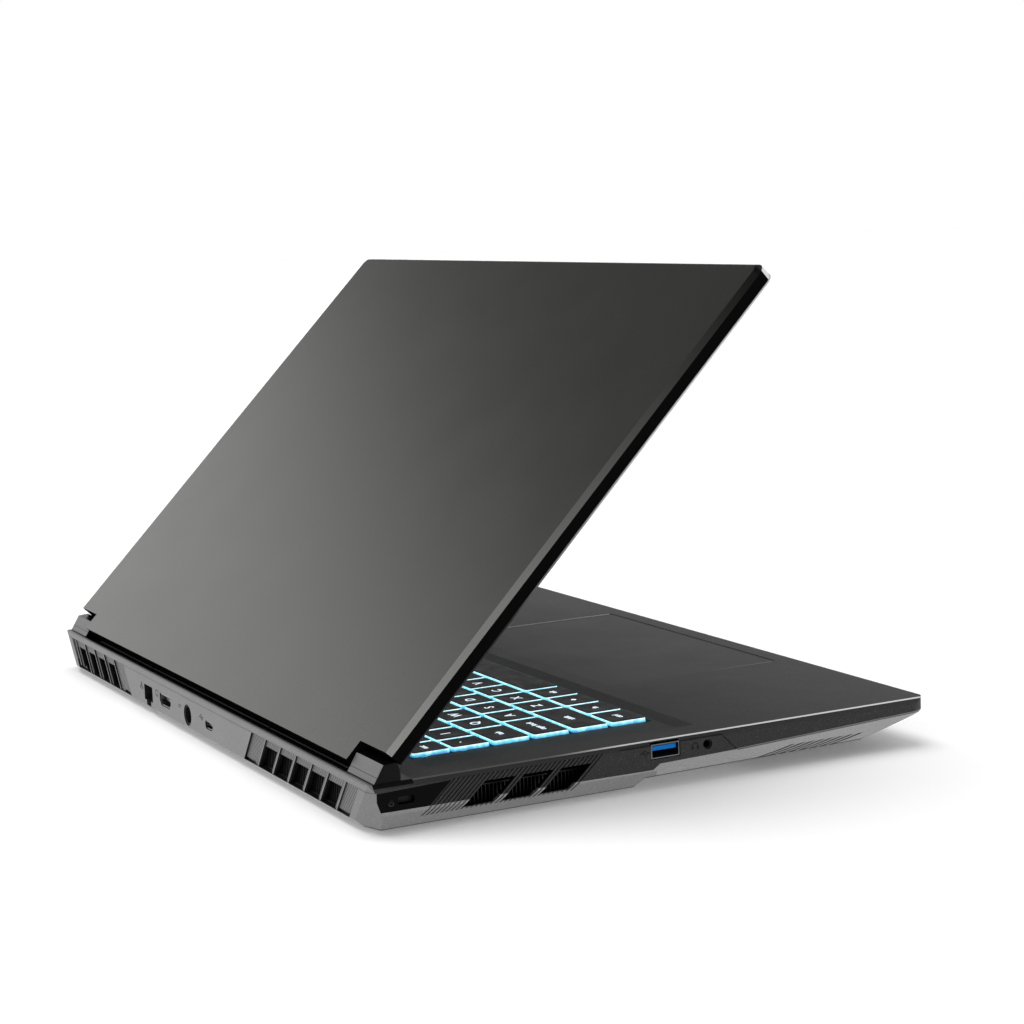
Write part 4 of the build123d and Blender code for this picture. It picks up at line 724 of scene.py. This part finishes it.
def make_finishes():
    """The material of each slot that the record names, and those of the keys' own pieces."""
    return {
        "lid_metal": lid_metal(),
        "deck_metal": deck_metal(),
        "shell_paint": shell_paint(),
        "side_plastic": side_plastic(),
        "hinge_cap_paint": hinge_cap_paint(),
        "screen_glass": screen_glass(),
        "backlight": backlight(),
        "key_plastic": key_plastic(),
        "hinge_steel": grained("hinge_steel", grey(150), 0.35, 1.0),
        "keyboard_steel": grained("keyboard_steel", grey(26), 0.5, specular=0.2),
        "fan_plastic": grained("fan_plastic", grey(22), 0.5),
        "copper": grained("copper", (0.72, 0.33, 0.18), 0.32, 1.0),
        "fin_aluminium": grained("fin_aluminium", grey(36), 0.5, 1.0),
        "circuit_board": grained("circuit_board", (0.01, 0.05, 0.03), 0.45),
        "battery_wrap": grained("battery_wrap", grey(24), 0.45),
        "speaker_plastic": grained("speaker_plastic", grey(22), 0.5),
        "port_steel": grained("port_steel", grey(150), 0.3, 1.0),
        "port_plastic": grained("port_plastic", grey(22), 0.5, specular=0.2),
        "rubber": grained("rubber", grey(26), 0.8, specular=0.2, grain=0.8 * MM),
        "screw_steel": grained("screw_steel", grey(60), 0.35, 0.9),
        "bezel_plastic": bezel_plastic(),
        "touchpad_surface": touchpad_surface(),
        "button_metal": grained("button_metal", grey(90), 0.3, 0.8),
        "key_skirt": key_skirt(),
        "key_legend": key_legend(),
    }


# ---- pieces ----------------------------------------------------------------------
SHARP_FROM = math.radians(40)       # edges that turn more than this stay sharp


def new_piece(name, verts, faces, materials, node, slots=None, smooth=True):
    """A mesh that rides on the same body as a CAD node."""
    mesh = bpy.data.meshes.new(name)
    mesh.from_pydata(verts, [], faces)
    for material in materials:
        mesh.materials.append(material)
    if slots:
        mesh.polygons.foreach_set("material_index", slots)
    mesh.validate()
    if smooth:
        mesh.set_sharp_from_angle(angle=SHARP_FROM)
        mesh.polygons.foreach_set("use_smooth", [True] * len(mesh.polygons))
    thing = bpy.data.objects.new(name, mesh)
    bpy.context.scene.collection.objects.link(thing)
    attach(thing, BODY_OF[node])
    return thing


def shifted(faces, base):
    """Faces whose vertices are numbered from base on."""
    return [tuple(base + v for v in face) for face in faces]


# ---- keys ------------------------------------------------------------------------
LEGENDS = {
    "key_control_left": ["ctrl"],
    "key_space": [""],
    "key_shift_left": ["shift"],
    "key_enter": ["enter"],
    "key_tab": ["tab"],
    "key_backspace": ["back"],
    "key_escape": ["esc"],
    "bottom_row_keys": ["fn", "*", "alt", "alt", "ctrl", "<", "v", ">", "0", "00", ".", "enter"],
    "lower_row_keys": list("ZXCVBNM,./") + ["shift", "^"] + list("123"),
    "home_row_keys": ["caps lock"] + list("ASDFGHJKL;'") + list("456+"),
    "upper_row_keys": list("QWERTYUIOP[]\\") + list("789"),
    "number_row_keys": list("`1234567890-=") + ["num", "/", "x", "-"],
    "function_row_keys": ["F%d" % n for n in range(1, 13)] + ["prt", "ins", "del", "home", "end", "pg"],
}
KEY_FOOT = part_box("key_escape")[0].z
KEY_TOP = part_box("key_escape")[1].z
KEY_SLACK = 0.01 * MM           # keys of one row are further apart than this
DISH = 0.18 * MM                # depth of the hollow in a key's top
FOOT_FLARE = 0.4 * MM
CAP_SLOT, SKIRT_SLOT = 0, 1

# a key's rings from foot to top: inset in flares, corner radius, and depth under the top
CAP_RINGS = (
    (0.0, 1.2 * MM, KEY_TOP - KEY_FOOT),
    (0.8, 1.1 * MM, 0.2 * MM),
    (1.0, 1.0 * MM, 0.12 * MM),
    (1.4, 0.9 * MM, 0.03 * MM),
    (2.0, 0.8 * MM, 0.0),
)
DISH_RINGS = (0.75, 0.5, 0.25)  # the hollow's rings, as shares of the top's size

ARROWS = {"<": 90, ">": -90, "^": 0, "v": 180}      # their turns from pointing to the rear
ARROW_SIZE = 1.3 * MM
ARROW_CORNERS = (0, 2.2, -2.2)                      # round its middle, in radians
DIAMOND_SIZE = 1.5 * MM
LETTER_SIZE = 6.2 * MM
WORD_SIZE = 4.0 * MM
LETTER_WEIGHT = 0.1 * MM
LEGEND_RISE = 0.03 * MM
MARK_HALF = 0.015 * MM                              # half the thickness of a legend or a printed mark


def key_boxes(node):
    """The boxes of a node's keys from left to right; the keys don't overlap along X."""
    mesh = frame["nodes"][node].data
    spans = []
    for face in mesh.polygons:
        xs = [mesh.vertices[v].co.x for v in face.vertices]
        spans.append((min(xs), max(xs)))
    merged = []
    for low, high in sorted(spans):
        if merged and low <= merged[-1][1] + KEY_SLACK:
            merged[-1][1] = max(merged[-1][1], high)
        else:
            merged.append([low, high])
    boxes = []
    for low, high in merged:
        ys = [v.co.y for v in mesh.vertices if low - KEY_SLACK <= v.co.x <= high + KEY_SLACK]
        boxes.append((low, high, min(ys), max(ys)))
    return boxes


def rounded_ring(box, inset, radius, z, steps=4):
    """Points round a rounded rectangle inside a box, counterclockwise."""
    x0, x1, y0, y1 = box
    left, right = x0 + inset + radius, x1 - inset - radius
    front, rear = y0 + inset + radius, y1 - inset - radius
    ring = []
    for cx, cy, start in ((right, rear, 0), (left, rear, 90), (left, front, 180), (right, front, 270)):
        for step in range(steps + 1):
            angle = math.radians(start + 90 * step / steps)
            ring.append((cx + radius * math.cos(angle), cy + radius * math.sin(angle), z))
    return ring


def add_cap(verts, faces, slots, box):
    """One key: a flared lit skirt, a rounded upper edge, and a shallow dish on top."""
    x0, x1, y0, y1 = box
    cx, cy = (x0 + x1) / 2, (y0 + y1) / 2
    rings = []
    for inset, radius, depth in CAP_RINGS:
        rings.append(rounded_ring(box, FOOT_FLARE * inset, radius, KEY_TOP - depth))
    top = rings[-1]
    for share in DISH_RINGS:
        z = KEY_TOP - DISH * (1 - share * share)
        rings.append([(cx + (x - cx) * share, cy + (y - cy) * share, z) for x, y, _ in top])
    base, count = len(verts), len(top)
    for ring in rings:
        verts.extend(ring)
    middle = len(verts)
    verts.append((cx, cy, KEY_TOP - DISH))
    for level in range(len(rings) - 1):
        low, high = base + level * count, base + (level + 1) * count
        for i in range(count):
            j = (i + 1) % count
            faces.append((low + i, low + j, high + j, high + i))
            slots.append(CAP_SLOT if level else SKIRT_SLOT)
    last = middle - count
    for i in range(count):
        faces.append((last + i, last + (i + 1) % count, middle))
        slots.append(CAP_SLOT)
    faces.append(tuple(base + i for i in reversed(range(count))))
    slots.append(SKIRT_SLOT)


def plate(outline):
    """Mesh data of a thin flat plate with a convex outline, centred on its own plane."""
    count = len(outline)
    verts = [(x, y, z) for z in (-MARK_HALF, MARK_HALF) for x, y in outline]
    faces = [tuple(reversed(range(count))), tuple(range(count, 2 * count))]
    faces += [(i, (i + 1) % count, count + (i + 1) % count, count + i) for i in range(count)]
    return verts, faces


def glyph(text, size):
    """Mesh data of a short text as thin plates, centred on the origin."""
    curve = bpy.data.curves.new("glyph", "FONT")
    curve.body = text
    curve.size = size
    curve.align_x = "CENTER"
    curve.align_y = "CENTER"
    curve.resolution_u = 3
    curve.offset = LETTER_WEIGHT
    curve.extrude = MARK_HALF
    thing = bpy.data.objects.new("glyph", curve)
    bpy.context.scene.collection.objects.link(thing)
    bpy.context.view_layer.update()
    mesh = bpy.data.meshes.new_from_object(thing.evaluated_get(bpy.context.evaluated_depsgraph_get()))
    verts = [tuple(v.co) for v in mesh.vertices]
    faces = [tuple(p.vertices) for p in mesh.polygons]
    bpy.data.objects.remove(thing)
    bpy.data.meshes.remove(mesh)
    return verts, faces


def legend_shape(text):
    """Mesh data of a key's legend: an arrow, a diamond, or letters."""
    if text in ARROWS:
        turn = math.radians(ARROWS[text] + 90)
        corners = [turn + corner for corner in ARROW_CORNERS]
        return plate([(ARROW_SIZE * math.cos(a), ARROW_SIZE * math.sin(a)) for a in corners])
    if text == "*":
        return plate([(DIAMOND_SIZE, 0), (0, DIAMOND_SIZE), (-DIAMOND_SIZE, 0), (0, -DIAMOND_SIZE)])
    return glyph(text, LETTER_SIZE if len(text) == 1 else WORD_SIZE)


def add_legend(verts, faces, text, box):
    """A legend laid in the dish of its key."""
    x0, x1, y0, y1 = box
    shape, shape_faces = legend_shape(text)
    faces += shifted(shape_faces, len(verts))
    for x, y, z in shape:
        share = max(abs(x) / (x1 - x0), abs(y) / (y1 - y0)) * 2
        floor = KEY_TOP - DISH * (1 - share * share)
        verts.append(((x0 + x1) / 2 + x, (y0 + y1) / 2 + y, floor + LEGEND_RISE + z))


def add_keys(node, finishes):
    """Detailed keys in place of a CAD node, and their legends."""
    verts, faces, slots = [], [], []
    marks, mark_faces = [], []
    for box, text in zip(key_boxes(node), LEGENDS[node]):
        add_cap(verts, faces, slots, box)
        if text:
            add_legend(marks, mark_faces, text, box)
    cap_finishes = [finishes["key_plastic"], finishes["key_skirt"]]
    caps = new_piece("caps_" + node, verts, faces, cap_finishes, node, slots)
    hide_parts(node)
    if marks:
        new_piece("legends_" + node, marks, mark_faces, [finishes["key_legend"]], node, smooth=False)


# ---- marks beside the ports ------------------------------------------------------
STROKE = 0.42                   # width of the marks' lines, in the millimetres that they are drawn in


def arc(cx, cy, radius, start, end, steps=6):
    """Points along an arc, in degrees."""
    angles = [math.radians(start + (end - start) * i / steps) for i in range(steps + 1)]
    return [(cx + radius * math.cos(a), cy + radius * math.sin(a)) for a in angles]


def frame_lines(x0, x1, y0, y1):
    return [(x0, y0), (x1, y0), (x1, y1), (x0, y1), (x0, y0)]


FORK = [
    [(-2.4, 0), (2.4, 0)],
    [(-1.2, 0), (-0.2, 1.1), (1.0, 1.1)],
    [(-0.4, 0), (0.6, -1.1), (1.6, -1.1)],
    [(1.8, 0.5), (2.6, 0), (1.8, -0.5)],
]
PADLOCK = [frame_lines(-1.2, 1.2, -1.5, 0.3), [(-0.8, 0.3)] + arc(0, 0.7, 0.8, 180, 0) + [(0.8, 0.3)]]
HEADSET = [arc(0, 0, 1.5, 200, -20), frame_lines(-1.9, -1.1, -1.5, -0.4), frame_lines(1.1, 1.9, -1.5, -0.4)]
NETWORK = [
    frame_lines(-0.6, 0.6, 0.6, 1.6),
    [(0, 0.6), (0, -0.1)],
    [(-1.4, -0.7), (-1.4, -0.1), (1.4, -0.1), (1.4, -0.7)],
    frame_lines(-1.9, -0.9, -1.6, -0.7),
    frame_lines(0.9, 1.9, -1.6, -0.7),
]
DISPLAY = [frame_lines(-1.9, 1.9, -0.8, 1.4), [(-0.8, -1.4), (0.8, -1.4)]]
DIRECT_CURRENT = [[(-1.9, 0.5), (1.9, 0.5)], [(-1.9, -0.5), (-0.9, -0.5)], [(-0.5, -0.5), (0.5, -0.5)]]

# where the marks stand: along the wall, and below the deck
REAR_MARKS = ((NETWORK, 74.5 * MM), (DISPLAY, 51.5 * MM), (DIRECT_CURRENT, 18.0 * MM), (FORK, -10.5 * MM))
REAR_MARK_DROP = 8.5 * MM
USB_MARK = (11.0 * MM, 4.6 * MM)
HEADSET_MARK = (-13.2 * MM, 4.8 * MM)
LOCK_MARK = (123.5 * MM, 7.6 * MM)
SIDE_MARK_SIZE = 0.85
LOCK_MARK_SIZE = 0.75


def stroke_plates(lines):
    """Thin plates along lines of points given in millimetres."""
    verts, faces = [], []
    for line in lines:
        for (ax, ay), (bx, by) in zip(line, line[1:]):
            along = Vector((bx - ax, by - ay)).normalized() * STROKE / 2
            across = Vector((-along.y, along.x))
            a, b = Vector((ax, ay)) - along, Vector((bx, by)) + along
            outline = [a - across, b - across, b + across, a + across]
            more, more_faces = plate([(p.x * MM, p.y * MM) for p in outline])
            faces += shifted(more_faces, len(verts))
            verts += more
    return verts, faces


def add_marks(name, node, right, outward, places, material, size=1.0):
    """Printed marks on one wall, each as (lines, point on the wall)."""
    verts, faces = [], []
    turn = Matrix((right, outward.cross(right), outward)).transposed()
    for lines, place in places:
        more, more_faces = stroke_plates(lines)
        faces += shifted(more_faces, len(verts))
        verts += [tuple(place + turn @ Vector((x * size, y * size, z))) for x, y, z in more]
    new_piece(name, verts, faces, [material], node, smooth=False)


def on_side(x, mark):
    """The point on a side wall where a mark stands."""
    y, drop = mark
    return Vector((x, y, DECK - drop))


def add_all_marks():
    """The pictograms on the rear and side walls."""
    dark = grained("mark_dark", grey(52), 0.5, specular=0.1)
    black = grained("mark_black", grey(20), 0.5, specular=0.1)
    faint = grained("mark_faint", grey(58), 0.5, specular=0.1)
    rear = [(lines, Vector((x, REAR, DECK - REAR_MARK_DROP))) for lines, x in REAR_MARKS]
    left = [(FORK, on_side(-SIDE, USB_MARK)), (HEADSET, on_side(-SIDE, HEADSET_MARK))]
    lock = [(PADLOCK, on_side(-SIDE, LOCK_MARK))]
    right = [(FORK, on_side(SIDE, USB_MARK))]
    add_marks("marks_rear", "rear_port_plate", LEFT, REARWARD, rear, dark)
    add_marks("marks_left", "side_trim_left", FORWARD, LEFT, left, black, SIDE_MARK_SIZE)
    add_marks("mark_lock", "side_trim_left", FORWARD, LEFT, lock, faint, LOCK_MARK_SIZE)
    add_marks("marks_right", "side_trim_right", REARWARD, RIGHT, right, black, SIDE_MARK_SIZE)


# ---- softened edges --------------------------------------------------------------
EDGE_WIDTHS = {
    "hinge_cap_left": 0.35 * MM,
    "hinge_cap_right": 0.35 * MM,
    "lid_cover": 0.25 * MM,
    "screen_bezel": 0.15 * MM,
    "rear_strip": 0.2 * MM,
    "touchpad": 0.25 * MM,
    "power_button": 0.2 * MM,
}
WELD_REACH = 0.001 * MM
BEVEL_FROM = math.radians(25)       # edges that turn more than this are rounded


def soften(node, width):
    """A small rounded bevel on the sharp edges of a CAD node."""
    thing = frame["nodes"][node]
    weld = thing.modifiers.new("weld", "WELD")
    weld.merge_threshold = WELD_REACH
    bevel = thing.modifiers.new("soft_edge", "BEVEL")
    bevel.width = width
    bevel.segments = 2
    bevel.limit_method = "ANGLE"
    bevel.angle_limit = BEVEL_FROM
    bevel.harden_normals = True


# ---- floor, lights and camera ----------------------------------------------------
FLOOR_HALF = 9.0
FLOOR_COLOUR = (0.93, 0.93, 0.93)
FLOOR_GLOW = 0.12
SUN_FROM = Vector((0.38, 0.08, 0.92))
SUN_STRENGTH = 2.15
SUN_SPREAD = math.radians(50)

# patches of light in the studio: direction; where the patch's edge starts and ends, as a dot
# product with that direction; and the light outside and inside it
LOWER_WALL = ((0, 0.35, -1), -0.43, -0.25, 0.18, 1.1)
SOFT_BOXES = (
    ((-0.5, 0.6, 0.62), 0.86, 0.99, 0.0, 0.2),
    ((0.0, -0.65, 0.76), 0.9, 0.985, 0.0, 1.5),
    ((-0.5, -0.84, -0.2), 0.84, 0.96, 0.0, 3.2),
)
CAMERA_AT = Vector((-0.9775, 0.4654, 0.2392))
CAMERA_YAW = math.radians(-27.16)       # from the X axis
CAMERA_PITCH = math.radians(-7.78)
CAMERA_ROLL = math.radians(2.08)
CAMERA_LENS = 79.95                     # in millimetres, like the sensor
CAMERA_SENSOR = 36.0


def add_floor():
    """A white floor that glows a little, so that it fades into the background."""
    mesh = bpy.data.meshes.new("floor")
    h = FLOOR_HALF
    mesh.from_pydata([(-h, -h, 0), (h, -h, 0), (h, h, 0), (-h, h, 0)], [], [(0, 1, 2, 3)])
    thing = bpy.data.objects.new("floor", mesh)
    bpy.context.scene.collection.objects.link(thing)
    s = Shader("floor", FLOOR_COLOUR, 0.9, 0.0, 0.0)
    s.set("Emission Color", (1, 1, 1, 1))
    s.set("Emission Strength", FLOOR_GLOW)
    mesh.materials.append(s.material)
    thing.visible_glossy = False


def add_sun():
    """A broad overhead light, which casts the soft shadow on the floor."""
    light = bpy.data.lights.new("overhead", "SUN")
    light.energy = SUN_STRENGTH
    light.angle = SUN_SPREAD
    thing = bpy.data.objects.new("overhead", light)
    thing.rotation_euler = (-SUN_FROM).to_track_quat("-Z", "Y").to_euler()
    thing.visible_glossy = False
    bpy.context.scene.collection.objects.link(thing)


def add_world():
    """White to the camera; the object sees a studio with a bright lower part and soft boxes."""
    world = bpy.data.worlds.new("studio")
    world.use_nodes = True
    nodes, links = world.node_tree.nodes, world.node_tree.links
    where = nodes.new("ShaderNodeTexCoord").outputs["Generated"]

    def glow(direction, start, end, dark, bright):
        """Light that grows from dark to bright as the dot product with a direction grows."""
        along = nodes.new("ShaderNodeVectorMath")
        along.operation = "DOT_PRODUCT"
        links.new(where, along.inputs[0])
        along.inputs[1].default_value = direction
        ramp = nodes.new("ShaderNodeMapRange")
        ramp.interpolation_type = "SMOOTHSTEP"
        links.new(along.outputs["Value"], ramp.inputs["Value"])
        for socket, value in zip(("From Min", "From Max", "To Min", "To Max"), (start, end, dark, bright)):
            ramp.inputs[socket].default_value = value
        return ramp.outputs[0]

    level = glow(*LOWER_WALL)
    for box in SOFT_BOXES:
        total = nodes.new("ShaderNodeMath")
        links.new(level, total.inputs[0])
        links.new(glow(*box), total.inputs[1])
        level = total.outputs[0]
    shown = nodes["Background"]
    shown.inputs["Color"].default_value = (1, 1, 1, 1)
    studio = nodes.new("ShaderNodeBackground")
    studio.inputs["Color"].default_value = (1, 1, 1, 1)
    links.new(level, studio.inputs["Strength"])
    rays = nodes.new("ShaderNodeLightPath")
    mix = nodes.new("ShaderNodeMixShader")
    links.new(rays.outputs["Is Camera Ray"], mix.inputs[0])
    links.new(studio.outputs[0], mix.inputs[1])
    links.new(shown.outputs[0], mix.inputs[2])
    links.new(mix.outputs[0], nodes["World Output"].inputs["Surface"])
    bpy.context.scene.world = world


def add_camera():
    """Behind the user's left, a little higher than the top of the lid, and slightly rolled."""
    level = math.cos(CAMERA_PITCH)
    ahead = Vector((level * math.cos(CAMERA_YAW), level * math.sin(CAMERA_YAW), math.sin(CAMERA_PITCH)))
    level_right = ahead.cross(UP).normalized()
    level_down = ahead.cross(level_right)
    right = level_right * math.cos(CAMERA_ROLL) + level_down * math.sin(CAMERA_ROLL)
    down = -level_right * math.sin(CAMERA_ROLL) + level_down * math.cos(CAMERA_ROLL)
    turn = Matrix((right, -down, -ahead)).transposed()
    data = bpy.data.cameras.new("camera")
    data.lens = CAMERA_LENS
    data.sensor_width = CAMERA_SENSOR
    data.clip_start = 0.01
    thing = bpy.data.objects.new("camera", data)
    thing.matrix_world = Matrix.Translation(CAMERA_AT) @ turn.to_4x4()
    bpy.context.scene.collection.objects.link(thing)
    bpy.context.scene.camera = thing


# ---- put it together -------------------------------------------------------------
finishes = make_finishes()
steel_ports = usb_steel()
for name, thing in frame["nodes"].items():
    thing.data.materials.clear()
    finish = steel_ports if name.startswith("usb_port") else finishes[SLOT_OF[name]]
    thing.data.materials.append(finish)
for node in LEGENDS:
    add_keys(node, finishes)
add_all_marks()
for node, width in EDGE_WIDTHS.items():
    soften(node, width)

add_floor()
add_sun()
add_world()
add_camera()
bpy.context.scene.view_settings.view_transform = "Standard"
